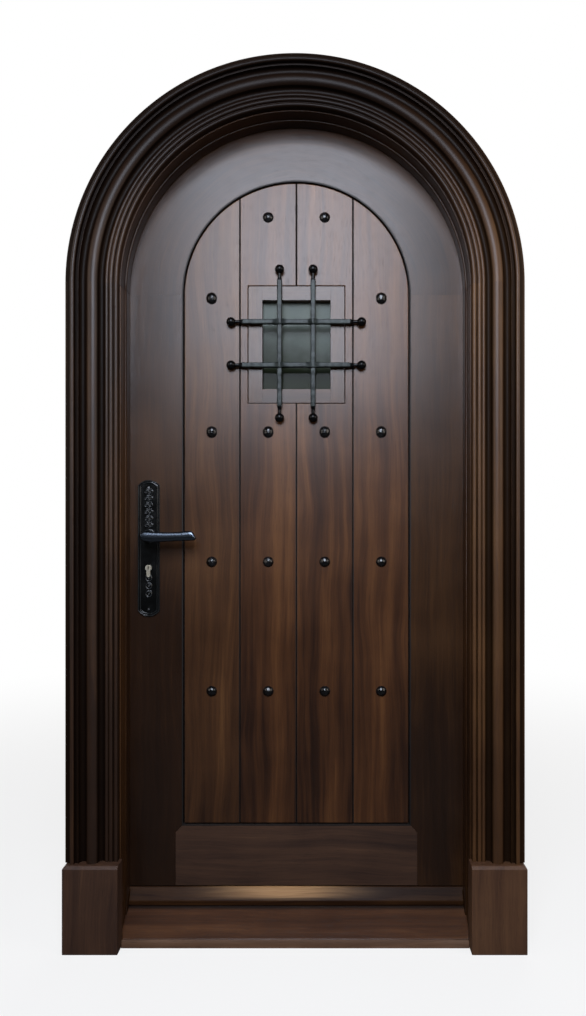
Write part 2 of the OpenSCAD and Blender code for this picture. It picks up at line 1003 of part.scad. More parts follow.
module sash_knob() {
  color("dimgray")
    translate([-half_w + 14, board_back, light_z])
      rotate([-90, 0, 0])
        rotate_extrude()
          union() {
            square([5, 12]);
            translate([0, 15])
              intersection() {
                circle(r = 9);
                translate([0, -9])
                  square([9, 18]);
              }
          }
}

// Turn button beside the sash, shown turned clear of it.
module turn_button() {
  color("dimgray") {
    deep(board_back + 0.5, board_back + 6)
      union() {
        translate([button_x, light_z])
          circle(r = 8);
        translate([button_x - 6, light_z])
          square([12, 34]);
        translate([button_x, light_z + 34])
          circle(r = 6.5);
      }
    rod_y(button_x, board_y + 21, board_back + 2, light_z, 2.5 - run_c);
  }
}

// Lock and handles

// Outline of a profile cylinder, grown by d.
module cylinder_outline(d) {
  translate([lever_x, cyl_z])
    circle(r = 8.5 + d);
  translate([lever_x - 5 - d, cyl_z - 19.5])
    square([10 + d * 2, 19.5]);
  translate([lever_x, cyl_z - 19.5])
    circle(r = 5 + d);
}

function plate_screw_z() = [plate_z - plate_h / 2 + 20, plate_z + plate_h / 2 - 20];

function forend_screw_z() = [case_lo - 8, case_hi + 8];

// Plate outline with segmental ends, drawn inside its edge by d.
module plate_outline(d) {
  r = plate_w * 0.62;
  translate([lever_x, plate_z])
    intersection() {
      square([plate_w - d * 2, plate_h - d * 2], center = true);
      union() {
        square([plate_w, plate_h - r * 1.1], center = true);
        for (s = [-1, 1])
          translate([0, s * (plate_h / 2 - r)])
            circle(r = r - d);
      }
    }
}

// Plate with a double raised border, standing from y0 to y1; the border faces away from the leaf.
module handle_plate(y0, y1, border_y0, border_y1) {
  difference() {
    union() {
      deep(y0, y1)
        plate_outline(0);
      deep(border_y0, border_y1)
        difference() {
          plate_outline(0.8);
          plate_outline(3.4);
        }
      deep(border_y0, border_y1)
        difference() {
          plate_outline(5.4);
          plate_outline(7.2);
        }
    }
    rod_y(lever_x, y0 - 5, y1 + 5, lever_z, neck_out_r + run_c);
    deep(y0 - 5, y1 + 5)
      cylinder_outline(0.3);
  }
}

module plate_outside() {
  color("black")
    difference() {
      handle_plate(leaf_y - plate_t, leaf_y, leaf_y - plate_t - 1.6, leaf_y - 1);
      for (z = plate_screw_z())
        rod_y(lever_x, leaf_y - plate_t + 2, leaf_y + 1, z, 2.5);
    }
}

module plate_inside() {
  color("black")
    difference() {
      handle_plate(leaf_back, leaf_back + plate_t, leaf_back + 1, leaf_back + plate_t + 1.6);
      for (z = plate_screw_z())
        rod_y(lever_x, leaf_back - 1, leaf_back + plate_t + 3, z, 2.5);
    }
}

module plate_screws() {
  color("gray")
    for (z = plate_screw_z()) {
      rod_y(lever_x, leaf_y - plate_t + 2, leaf_back + plate_t + 1, z, 2.5);
      rod_y(lever_x, leaf_back + plate_t, leaf_back + plate_t + 2.2, z, 4.5);
    }
}

// Hollow case behind the forend, open to it.
module lock_case() {
  x0 = -leaf_r + forend_t;
  y0 = leaf_mid - case_t / 2;
  color("gray")
    difference() {
      box(x0, x0 + case_d, y0, y0 + case_t, case_lo, case_hi);
      box(x0 - 1, x0 + case_d - case_wall, y0 + case_wall, y0 + case_t - case_wall,
          case_lo + case_wall, case_hi - case_wall);
      rod_y(lever_x, y0 - 1, y0 + case_t + 1, lever_z, hub_r + run_c);
      deep(y0 - 1, y0 + case_t + 1)
        cylinder_outline(0.3);
    }
}

module lock_forend() {
  color("gray")
    difference() {
      box(-leaf_r, -leaf_r + forend_t, leaf_mid - forend_w / 2, leaf_mid + forend_w / 2,
          case_lo - 15, case_hi + 15);
      box(-leaf_r - 1, -leaf_r + forend_t + 1, leaf_mid - 6 - fit_c, leaf_mid + 6 + fit_c,
          latch_z - 10 - fit_c, latch_z + 10 + fit_c);
      box(-leaf_r - 1, -leaf_r + forend_t + 1, leaf_mid - 6 - fit_c, leaf_mid + 6 + fit_c,
          bolt_z - 12 - fit_c, bolt_z + 12 + fit_c);
      for (z = forend_screw_z())
        forend_screw(z);
    }
}

module forend_screw(z) {
  rod_x(-leaf_r + 1, -leaf_r + 25, leaf_mid, z, 2);
  rod_x(-leaf_r, -leaf_r + 1.5, leaf_mid, z, 4);
}

// Profile cylinder, cut away in the middle where the cam turns.
module cylinder_body() {
  color("gold")
    difference() {
      deep(leaf_y - plate_t - 3, leaf_back + plate_t + 3)
        cylinder_outline(0);
      rod_y(lever_x, leaf_y - plate_t - 4, leaf_back + plate_t + 4, cyl_z, 6.5 + run_c);
      box(lever_x - 12, lever_x + 12, leaf_mid - 5, leaf_mid + 5, cyl_z - 15, cyl_z + 12);
    }
}

module cylinder_plug() {
  color("silver")
    difference() {
      union() {
        rod_y(lever_x, leaf_y - plate_t - 3.4, leaf_back + plate_t + 3.4, cyl_z, 6.5);
        rod_y(lever_x, leaf_mid - 4.6, leaf_mid + 4.6, cyl_z, 8);
        box(lever_x - 4, lever_x + 4, leaf_mid - 4.6, leaf_mid + 4.6, cyl_z - 14, cyl_z);
      }
      for (y = [leaf_y - plate_t - 4, leaf_back + plate_t - 8])
        box(lever_x - 1.2, lever_x + 1.2, y, y + 12, cyl_z - 4, cyl_z + 4.2);
    }
}

module spindle() {
  a = spindle_a / 2;
  color("gray")
    box(lever_x - a, lever_x + a, leaf_y - plate_t - 30, leaf_back + plate_t + 30,
        lever_z - a, lever_z + a);
}

// Hub on the spindle with an arm that draws the latch back.
module follower() {
  a = spindle_a / 2 + 0.05;
  color("gray")
    difference() {
      union() {
        rod_y(lever_x, leaf_mid - case_t / 2, leaf_mid + case_t / 2, lever_z, hub_r);
        box(lever_x - 3, lever_x + 3, leaf_mid - 2.5, leaf_mid + 2.5, lever_z, lever_z + 22);
      }
      box(lever_x - a, lever_x + a, leaf_mid - 20, leaf_mid + 20, lever_z - a, lever_z + a);
    }
}

// Lever outline in X and Z: round hub, gently waved grip and a slanting round end.
module lever_outline() {
  k = lever_len / 135;
  translate([lever_x, lever_z]) {
    circle(r = 14);
    polygon([[0, 13], [22 * k, 12.5], [45 * k, 11.5], [68 * k, 11], [90 * k, 12], [108 * k, 14],
             [119 * k, 15], [126 * k, 12.5], [135 * k, -3], [134 * k, -8], [130 * k, -11],
             [92 * k, -12], [62 * k, -13.5], [35 * k, -15], [15 * k, -15.5], [0, -14]]);
  }
}

module lever(y0, y1, grip0, grip1) {
  a = spindle_a / 2 + 0.05;
  difference() {
    union() {
      rod_y(lever_x, y0, y1, lever_z, neck_out_r);
      deep(grip0, grip1)
        lever_outline();
    }
    box(lever_x - a, lever_x + a, leaf_y - plate_t - 30, leaf_back + plate_t + 30,
        lever_z - a, lever_z + a);
  }
}

module lever_outside() {
  y = leaf_y - plate_t - lever_gap;
  color("black")
    lever(y - 2, leaf_y - 1, y - lever_t, y);
}

module lever_inside() {
  y = leaf_back + plate_t + lever_gap;
  color("black")
    lever(leaf_back + 1, y + 2, y, y + lever_t);
}

// Latch with a bevelled nose and a slot for the follower's arm.
module latch_bolt() {
  x0 = -leaf_r - latch_throw;
  color("silver")
    difference() {
      box(x0, lever_x + 16, leaf_mid - 6, leaf_mid + 6, latch_z - 10, latch_z + 10);
      deep(leaf_mid - 7, leaf_mid + 7)
        translate([lever_x - 9, latch_z - 11])
          square([15, 14.5]);
      linear_extrude(height = latch_z + 20)
        polygon([[x0 - 1, leaf_mid - 7], [x0 + latch_throw - 2, leaf_mid - 7],
                 [x0 + latch_throw - 2, leaf_mid - 6], [x0, leaf_mid + 3], [x0 - 1, leaf_mid + 3]]);
    }
}

module dead_bolt() {
  color("silver")
    box(-leaf_r, -leaf_r + 52, leaf_mid - 6, leaf_mid + 6, bolt_z - 12, bolt_z + 12);
}

jamb_left();
jamb_right();
jamb_arch();
stop_left();
stop_right();
stop_arch();
frame_seal();
casing_left();
casing_right();
casing_arch();
plinth_left();
plinth_right();
sill();
sill_shoe();
saddle();
strike_plate();
hinge_jamb_leaves();
hinge_pins();
frame_screws();
stile_left();
stile_right();
arch_head();
bottom_rail();
board_1();
board_2();
board_3();
board_4();
bottom_sweep();
clavos();
grille_left();
grille_right();
grille_upper();
grille_lower();
plate_outside();
plate_inside();
plate_screws();
lock_case();
lock_forend();
cylinder_body();
hinge_door_leaves();
leaf_screws();
sash_hinge_fixed();
lever_outside();
lever_inside();
spindle();
follower();
latch_bolt();
dead_bolt();
cylinder_plug();
sash_left();
sash_right();
sash_top();
sash_bottom();
glass();
glazing_beads();
sash_hinge_moving();
sash_knob();
turn_button();
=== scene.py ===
import json
import math

import bmesh
import bpy
import numpy as np
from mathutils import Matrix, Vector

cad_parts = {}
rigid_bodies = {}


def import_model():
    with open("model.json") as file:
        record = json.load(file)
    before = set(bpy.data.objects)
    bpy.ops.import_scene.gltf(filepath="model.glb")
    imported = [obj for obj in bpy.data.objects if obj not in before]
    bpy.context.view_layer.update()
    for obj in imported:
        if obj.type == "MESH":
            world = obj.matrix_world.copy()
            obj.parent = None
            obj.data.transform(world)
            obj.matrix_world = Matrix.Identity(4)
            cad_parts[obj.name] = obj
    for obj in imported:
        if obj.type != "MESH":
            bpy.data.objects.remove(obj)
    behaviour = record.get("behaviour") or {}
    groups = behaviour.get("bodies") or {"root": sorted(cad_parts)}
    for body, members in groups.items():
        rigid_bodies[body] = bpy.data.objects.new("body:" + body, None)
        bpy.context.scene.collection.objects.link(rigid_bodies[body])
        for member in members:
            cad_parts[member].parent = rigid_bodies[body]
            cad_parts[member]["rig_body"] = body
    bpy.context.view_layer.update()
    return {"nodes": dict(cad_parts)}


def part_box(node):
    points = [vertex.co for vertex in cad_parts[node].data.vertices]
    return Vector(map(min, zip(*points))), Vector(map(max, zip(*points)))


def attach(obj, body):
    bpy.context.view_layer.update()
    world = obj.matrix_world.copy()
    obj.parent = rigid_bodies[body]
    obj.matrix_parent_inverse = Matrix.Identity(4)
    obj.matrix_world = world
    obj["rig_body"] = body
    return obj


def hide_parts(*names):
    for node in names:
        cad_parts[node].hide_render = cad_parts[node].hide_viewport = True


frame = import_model()
nodes = frame["nodes"]
toMetres, toMillimetres = 0.001, 1000
print("frame loaded:", len(nodes), "nodes")


def addObject(name, data):
    made = bpy.data.objects.new(name, data)
    bpy.context.scene.collection.objects.link(made)
    return made


# Camera, worked out from the leaf's known width and the depth of the reveal: pixels, the eye in metres
photo = {"width": 586, "height": 1016, "focal": 780.5, "centre": (322.4, 530.0), "sensor": 36.0,
         "eye": (0.070, -2.022, 1.075)}


def placeCamera():
    data = bpy.data.cameras.new("photoCamera")
    data.sensor_fit = "VERTICAL"
    data.sensor_height = photo["sensor"]
    data.lens = photo["focal"] / photo["height"] * photo["sensor"]
    data.shift_x = (photo["width"] / 2 - photo["centre"][0]) / photo["height"]
    data.shift_y = (photo["centre"][1] - photo["height"] / 2) / photo["height"]
    camera = addObject("photoCamera", data)
    camera.location = photo["eye"]
    camera.rotation_euler = (math.pi / 2, 0, 0)  # level, looking along +Y
    bpy.context.scene.camera = camera


placeCamera()
bpy.context.scene.view_settings.view_transform = "Standard"
print("camera placed")


# Shader expressions: a wrapped socket, with Math nodes behind the operators
class Socket:
    def __init__(self, tree, link=None):
        self.tree = tree
        self.link = link

    # A node of any type: its settings first, then values or links for its sockets
    def add(self, kind, settings=None, inputs=None, output=0):
        made = self.tree.nodes.new(kind)
        for key, value in (settings or {}).items():
            if key == "stops":
                fillRamp(made.color_ramp, value)
            else:
                setattr(made, key, value)
        for key, value in (inputs or {}).items():
            if isinstance(value, Socket):
                self.tree.links.new(value.link, made.inputs[key])
            else:
                made.inputs[key].default_value = value
        return Socket(self.tree, made.outputs[output]) if made.outputs else None

    def maths(self, operation, first, second=0.0, clamp=False):
        settings = {"operation": operation, "use_clamp": clamp}
        return self.add("ShaderNodeMath", settings, {0: first, 1: second})

    def __add__(self, other):
        return self.maths("ADD", self, other)

    def __radd__(self, other):
        return self.maths("ADD", other, self)

    def __sub__(self, other):
        return self.maths("SUBTRACT", self, other)

    def __rsub__(self, other):
        return self.maths("SUBTRACT", other, self)

    def __mul__(self, other):
        return self.maths("MULTIPLY", self, other)

    def __rmul__(self, other):
        return self.maths("MULTIPLY", other, self)

    def __truediv__(self, other):
        return self.maths("DIVIDE", self, other)

    def clamped(self):
        return self.maths("ADD", self, 0.0, True)


def fillRamp(ramp, stops):
    while len(ramp.elements) < len(stops):
        ramp.elements.new(1.0)
    for element, (place, colour) in zip(ramp.elements, stops):
        element.position = place
        element.color = (*colour, 1.0)


def newMaterial(name):
    material = bpy.data.materials.new(name)
    material.use_nodes = True
    material.node_tree.nodes.clear()
    return material, Socket(material.node_tree)


def coordinates(start):
    place = start.add("ShaderNodeTexCoord", output="Object")
    return place, [start.add("ShaderNodeSeparateXYZ", inputs={0: place}, output=i) for i in range(3)]


def bareness(start):  # a piece's own attribute: 1 where it is open or rubbed, 0 where it is hidden or black; it also sets the casing's painted shade and the plates' painted highlight
    return start.add("ShaderNodeAttribute", {"attribute_name": "bare"}, output="Fac")


def noise(start, vector, scale, detail, roughness):
    values = {"Vector": vector, "Scale": scale, "Detail": detail, "Roughness": roughness}
    return start.add("ShaderNodeTexNoise", inputs=values)


def swing(value, amount):  # a noise from 0 to 1 as a swing about 0
    return (value - 0.5) * amount


def rising(start, value, low, high):  # 0 at low, 1 at high, smooth between; low may be the larger
    settings = {"interpolation_type": "SMOOTHSTEP"}
    return start.add("ShaderNodeMapRange", settings, {"Value": value, "From Min": low, "From Max": high})


def mixed(start, factor, first, second, blend="MIX"):
    first, second = [c if isinstance(c, Socket) else (*c, 1.0) for c in (first, second)]
    settings = {"data_type": "RGBA", "blend_type": blend}
    return start.add("ShaderNodeMix", settings, {0: factor, 6: first, 7: second}, 2)  # its colour sockets


def bumped(start, height, strength, distance):
    return start.add("ShaderNodeBump", inputs={"Height": height, "Strength": strength, "Distance": distance})


def painted(start, cover=None, **sockets):
    values = {key.replace("_", " "): value for key, value in sockets.items()}
    shader = start.add("ShaderNodeBsdfPrincipled", inputs=values)
    if cover:  # a factor and the colour of a matt layer
        matt = start.add("ShaderNodeBsdfDiffuse", inputs={"Color": (*cover[1], 1.0)})
        shader = start.add("ShaderNodeMixShader", inputs={0: cover[0], 1: shader, 2: matt})
    start.add("ShaderNodeOutputMaterial", inputs={"Surface": shader})


# Stained mahogany: grain runs up, across or round the arch. A noise is scale, detail, roughness
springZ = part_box("arch_head")[0].z
wood = {
    "stops": [(0.0, (0.004, 0.0018, 0.0010)), (0.35, (0.020, 0.0080, 0.0033)), (0.6, (0.056, 0.0232, 0.0078)),
              (0.82, (0.108, 0.0480, 0.0150)), (1.0, (0.180, 0.0880, 0.0310))],
    "rough": 0.30,
    "specular": 0.36,
    "polishAndShade": (0.0035, 0.0020, 0.0014),  # dark finish left in the joints; also the colour of painted shade in the quirks and in front of the saddle
    "arcRadius": 0.45,  # makes a length of the angle round the arch
    "cloud": (3.4, 3.0, 0.55),
    "shade": {"ribbon": 0.80, "streak": 0.72, "thread": 0.22, "cloud": 0.40},
    "gloss": {"cloud": 0.12, "pore": 0.06},
    "relief": {"thread": 0.30, "streak": 0.4, "pore": 0.6},
    "bump": (0.16, 0.0006),  # strength, distance
}
grainRuns = {  # scale across, scale along, shift, detail, roughness
    "sway": (6.0, 2.2, 3.1, 2.0, 0.5),
    "ribbon": (13.0, 1.1, 0.0, 3.0, 0.5),
    "streak": (60.0, 1.8, 7.7, 3.0, 0.55),
    "thread": (260.0, 7.0, 1.9, 2.0, 0.6),
    "pore": (900.0, 30.0, 5.3, 1.0, 0.5),
}
grainDrift = {"sway": 0.06, "seedAlong": 0.37}  # metres sideways, share of the seed that shifts lengthways
pores = {"span": (0.58, 0.74), "mix": 0.35, "colour": (0.006, 0.0035, 0.003)}
panel = {"board": 0.1525, "foot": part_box("bottom_rail")[1].z, "wander": (30.0, 2.0, 0.5), "wanderBy": 0.0022,
         "outline": (0.0046, 0.0022), "seam": (0.0034, 0.0014), "mix": 0.92, "dull": 0.3}
panel["radius"] = 2 * panel["board"]  # four boards under a half circle


def mahogany(name, grain, seed, tone, figure, rough=None, specular=None, wearAndHighlight=None, paintedShadow=None,
             quirk=None, joints=None, paintedShade=None, paintedLightLean=0.0, tint=None):
    material, start = newMaterial(name)
    place, (x, y, z) = coordinates(start)
    rise = start.maths("MAXIMUM", z - springZ, 0.0)
    radius = start.maths("SQRT", x * x + rise * rise)
    if grain == "arc":
        across, along = radius, start.maths("ARCTAN2", rise, x) * wood["arcRadius"]
    elif grain == "x":
        across, along = z, x
    else:
        across, along = x, z

    def grainNoise(run):
        acrossScale, alongScale, shift, detail, roughness = grainRuns[run]
        parts = {0: across * acrossScale + seed, 1: y * acrossScale + shift,
                 2: along * alongScale + seed * grainDrift["seedAlong"]}
        return noise(start, start.add("ShaderNodeCombineXYZ", inputs=parts), 1.0, detail, roughness)

    across = across + swing(grainNoise("sway"), grainDrift["sway"])
    ribbon, streak, thread = grainNoise("ribbon"), grainNoise("streak"), grainNoise("thread")
    pore = rising(start, grainNoise("pore"), *pores["span"])
    cloud = noise(start, place, *wood["cloud"])
    depth = wood["shade"]
    shade = swing(ribbon, depth["ribbon"] * figure) + swing(streak, depth["streak"] * figure)
    shade = shade + swing(thread, depth["thread"]) + swing(cloud, depth["cloud"]) + tone
    if paintedLightLean:  # painted light: lighter from left to right
        shade = shade + x * paintedLightLean
    if paintedShade:  # painted shade: darker from one height to another
        deep = rising(start, z, *paintedShade["span"])
        shade = shade - deep * paintedShade["by"]
    colour = start.add("ShaderNodeValToRGB", {"stops": wood["stops"]}, {0: shade.clamped()})
    if tint:  # a cooler or redder tint over the ramp's own brown; on the foot pieces partly a painted reflection, their grey-blue cast
        colour = mixed(start, 1.0, colour, tint, "MULTIPLY")
    colour = mixed(start, pore * pores["mix"], colour, pores["colour"])
    gloss = (rough or wood["rough"]) + swing(cloud, wood["gloss"]["cloud"]) + pore * wood["gloss"]["pore"]
    if wearAndHighlight:  # finish rubbed away in the middle of a tread, above its lip, with a painted warm highlight where the light mirrors in it
        aside = start.maths("ABSOLUTE", x - wearAndHighlight["x"]) + swing(streak, wearAndHighlight["ragged"])
        rubAndHighlight = rising(start, aside, wearAndHighlight["half"], 0.0)
        rubAndHighlight = rubAndHighlight * rubAndHighlight * rising(start, z + swing(thread, wearAndHighlight["frayed"]), *wearAndHighlight["lip"])
        colour = mixed(start, rubAndHighlight * wearAndHighlight["mix"], colour, mixed(start, thread, wearAndHighlight["dark"], wearAndHighlight["light"]))
    cover = None
    if quirk:  # painted shade: a dark matt layer where the moulding's quirks lie deep or steep
        bare = bareness(start) + swing(streak, quirk["ragged"])
        hidden = rising(start, bare, *quirk["span"]) * quirk["mix"]
        if paintedShade:  # painted shade: the sheen is taken off there as well
            hidden = start.maths("MAXIMUM", hidden, deep * paintedShade["matt"])
        cover = (hidden, wood["polishAndShade"])
    if joints:  # dark lines along the panel's outline, and between its boards
        wander = swing(noise(start, place, *panel["wander"]), panel["wanderBy"])
        outside = start.maths("MAXIMUM", radius - panel["radius"], panel["foot"] - z)
        line = rising(start, start.maths("ABSOLUTE", outside) + wander, *panel["outline"])
        if joints == "boards":
            between = start.maths("PINGPONG", x, panel["board"] / 2) + wander
            line = start.maths("MAXIMUM", line, rising(start, between, *panel["seam"]))
        colour = mixed(start, line * panel["mix"], colour, wood["polishAndShade"])
        gloss = gloss + line * panel["dull"]
    if paintedShadow:  # painted shadow: darker on a tread just in front of an upstand, under its nose
        corner = rising(start, y, *paintedShadow["span"])
        colour = mixed(start, corner * paintedShadow["mix"], colour, wood["polishAndShade"])
    ridges = wood["relief"]
    relief = thread * ridges["thread"] + streak * ridges["streak"] - pore * ridges["pore"]
    painted(start, cover, Base_Color=colour, Roughness=gloss.clamped(),
            Normal=bumped(start, relief, *wood["bump"]), Specular_IOR_Level=specular or wood["specular"])
    return material


# Black forged iron: uneven hammered skin, greyer where it is rubbed
forged = {"skin": (900.0, 3.0, 0.6), "broad": (45.0, 3.0, 0.6), "rubSpan": (0.45, 0.75), "rubMix": 0.8,
          "dents": 0.8, "grit": 0.25, "broadGloss": 0.25, "skinGloss": 0.1, "distance": 0.0012}


def iron(name, base, rubbed, rough, hammer, depth, metallic=0.0, crest=None, uneven=1.0):
    material, start = newMaterial(name)
    place, _ = coordinates(start)
    dents = start.add("ShaderNodeTexVoronoi", {"feature": "SMOOTH_F1"}, {"Vector": place, "Scale": hammer})
    skin = noise(start, place, *forged["skin"])
    broad = noise(start, place, *forged["broad"])
    colour = mixed(start, rising(start, broad, *forged["rubSpan"]) * forged["rubMix"], base, rubbed)
    if crest:  # raised ridges rubbed bright, partly a painted highlight
        colour = mixed(start, bareness(start), colour, crest)
    gloss = rough + swing(broad, forged["broadGloss"] * uneven) + swing(skin, forged["skinGloss"] * uneven)
    relief = dents * forged["dents"] + skin * forged["grit"]
    painted(start, Base_Color=colour, Roughness=gloss.clamped(), Metallic=metallic,
            Normal=bumped(start, relief, depth, forged["distance"]))
    return material


# Grille bars: black at the balls and necks, waxed grey iron between
waxed = {"black": (0.0020, 0.0020, 0.0022), "dark": (0.006, 0.008, 0.0075), "grey": (0.034, 0.041, 0.039),
         "broad": (70.0, 3.0, 0.6), "skin": (700.0, 3.0, 0.65), "span": (0.3, 0.75), "rough": 0.22,
         "bareRough": 0.10, "uneven": 0.25, "metallic": 0.15, "specular": 0.15, "beaten": 0.8, "grit": 0.3,
         "bump": (0.3, 0.001)}


def barIron(name):
    material, start = newMaterial(name)
    place, _ = coordinates(start)
    bare = bareness(start)
    broad = noise(start, place, *waxed["broad"])
    skin = noise(start, place, *waxed["skin"])
    grey = mixed(start, rising(start, broad, *waxed["span"]), waxed["dark"], waxed["grey"])
    gloss = waxed["rough"] + bare * waxed["bareRough"] + swing(broad, waxed["uneven"])
    relief = broad * waxed["beaten"] + skin * waxed["grit"]
    painted(start, Base_Color=mixed(start, bare, waxed["black"], grey), Roughness=gloss.clamped(),
            Metallic=bare * waxed["metallic"], Normal=bumped(start, relief, *waxed["bump"]),
            Specular_IOR_Level=waxed["specular"])
    return material


# Brushed metal with fine upright lines and a broad tarnish
brushing = {"stretch": (900.0, 900.0, 60.0), "lines": (1.0, 2.0, 0.5), "tarnish": (60.0, 3.0, 0.6),
            "span": (0.35, 0.75), "uneven": 0.2, "bump": (0.1, 0.0003)}


def brushed(name, base, second, rough, metallic=1.0):
    material, start = newMaterial(name)
    place, _ = coordinates(start)
    scaled = start.add("ShaderNodeVectorMath", {"operation": "MULTIPLY"}, {0: place, 1: brushing["stretch"]})
    lines = noise(start, scaled, *brushing["lines"])
    tarnish = noise(start, place, *brushing["tarnish"])
    colour = mixed(start, rising(start, tarnish, *brushing["span"]), base, second)
    gloss = rough + swing(lines, brushing["uneven"]) + swing(tarnish, brushing["uneven"])
    painted(start, Base_Color=colour, Roughness=gloss.clamped(), Metallic=metallic,
            Normal=bumped(start, lines, *brushing["bump"]))
    return material


# Rubber seal: matt black with a little dust
seal = {"black": (0.006, 0.006, 0.006), "dusty": (0.03, 0.028, 0.026), "dust": (140.0, 4.0, 0.65),
        "span": (0.5, 0.8), "rough": 0.7, "uneven": 0.3, "bump": (0.2, 0.0004)}


def rubber(name):
    material, start = newMaterial(name)
    place, _ = coordinates(start)
    dust = noise(start, place, *seal["dust"])
    colour = mixed(start, rising(start, dust, *seal["span"]), seal["black"], seal["dusty"])
    gloss = seal["rough"] + swing(dust, seal["uneven"])
    painted(start, Base_Color=colour, Roughness=gloss.clamped(), Normal=bumped(start, dust, *seal["bump"]))
    return material


# Lightly obscured pane with a painted reflection: pale grey green above and to the right, where the light
# mirrors in it, darker below
pane = {"dark": (0.016, 0.020, 0.011), "pale": (0.110, 0.132, 0.118), "ripple": (22.0, 2.0, 0.5),
        "cloud": (9.0, 3.0, 0.6), "wave": 0.35, "paintedLightLean": 0.9, "span": (0.30, 0.95), "rough": 0.06,
        "clouded": 0.10, "alpha": 0.97, "clear": 0.10, "bump": (0.10, 0.0015), "specular": 0.04}


def paneGlass(name):
    material, start = newMaterial(name)
    place, (x, _, z) = coordinates(start)
    low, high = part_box("glass")
    ripple = noise(start, place, *pane["ripple"])
    height = (z - low.z) / (high.z - low.z)
    # painted reflection: paler and clearer upwards and to the right
    light = rising(start, height + swing(ripple, pane["wave"]) + (x - low.x) * pane["paintedLightLean"], *pane["span"])
    gloss = pane["rough"] + noise(start, place, *pane["cloud"]) * pane["clouded"]
    painted(start, Base_Color=mixed(start, light, pane["dark"], pane["pale"]), Roughness=gloss.clamped(),
            Alpha=(pane["alpha"] - light * pane["clear"]).clamped(),
            Normal=bumped(start, ripple, *pane["bump"]), Specular_IOR_Level=pane["specular"])
    return material


ironBlack = iron("ironBlack", (0.0020, 0.0020, 0.0022), (0.010, 0.010, 0.011), rough=0.22, hammer=170.0,
                 depth=0.45)
# crest: painted highlight on the rubbed ridges of the border and ornament
ironPlate = iron("ironPlate", (0.0012, 0.0014, 0.0014), (0.003, 0.0034, 0.0034), rough=0.20, hammer=420.0,
                 depth=0.06, crest=(0.036, 0.040, 0.041))
ironLever = iron("ironLever", (0.088, 0.104, 0.126), (0.092, 0.108, 0.130), rough=0.25, hammer=60.0,
                 depth=0.0, metallic=1.0, uneven=0.1)
ironBar = barIron("ironBar")
hingeSteel = brushed("hingeSteel", (0.10, 0.095, 0.09), (0.05, 0.045, 0.04), rough=0.38, metallic=0.9)
lockSteel = brushed("lockSteel", (0.52, 0.52, 0.53), (0.34, 0.34, 0.35), rough=0.30)
nickelBrass = brushed("nickelBrass", (0.80, 0.74, 0.60), (0.66, 0.58, 0.42), rough=0.34, metallic=0.85)
sealRubber = rubber("sealRubber")
obscuredGlass = paneGlass("obscuredGlass")
print("metals, rubber and glass ready")


# Mesh helpers
mend = {"weld": 2e-6, "speck": 1e-7}  # metres within which seams and poles close, and specks vanish
easing = {"weld": 1e-5, "flat": 0.6, "bent": 28.0, "shortest": 0.005, "segments": 3}  # metres and degrees


def gridFaces(rows, columns, closedColumns=False):
    i = np.arange(rows - 1)
    j = np.arange(columns if closedColumns else columns - 1)
    a, b = np.meshgrid(i, j, indexing="ij")
    c, d = a + 1, (b + 1) % columns
    corners = [a * columns + b, c * columns + b, c * columns + d, a * columns + d]
    return np.stack(corners, -1).reshape(-1, 4)


def joinTubes(tubes):  # several closed grids as one set of points and faces
    points, faces, count = [], [], 0
    for tube in tubes:
        points.append(tube.reshape(-1, 3))
        faces.append(gridFaces(*tube.shape[:2], closedColumns=True) + count)
        count += len(points[-1])
    return np.concatenate(points), np.concatenate(faces)


def onceRound(count):  # angles of a closed ring
    return np.linspace(0, 2 * np.pi, count, endpoint=False)[None, :]


def runningMean(line, count):
    return np.convolve(np.pad(line, count // 2, mode="edge"), np.ones(count) / count, mode="valid")


def meshPoints(mesh):
    points = np.empty(len(mesh.vertices) * 3)
    mesh.vertices.foreach_get("co", points)
    return points.reshape(-1, 3)


def dress(name, mesh, node, body, material):  # a finished mesh in place of a CAD node
    mesh.materials.append(material)
    piece = addObject(name, mesh)
    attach(piece, body)
    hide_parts(node)
    return piece


def makePiece(name, points, faces, node, body, material, crease, bare=None):
    mesh = bpy.data.meshes.new(name)
    mesh.from_pydata(points.reshape(-1, 3).tolist(), [], [list(face) for face in faces])
    if bare is not None:
        layer = mesh.attributes.new("bare", "FLOAT", "POINT")
        layer.data.foreach_set("value", np.asarray(bare, np.float32).ravel())
    work = bmesh.new()
    work.from_mesh(mesh)
    bmesh.ops.remove_doubles(work, verts=work.verts, dist=mend["weld"])
    bmesh.ops.dissolve_degenerate(work, edges=work.edges, dist=mend["speck"])
    bmesh.ops.recalc_face_normals(work, faces=work.faces)
    work.to_mesh(mesh)
    work.free()
    mesh.shade_smooth()
    mesh.set_sharp_from_angle(angle=math.radians(crease))
    dress(name, mesh, node, body, material)


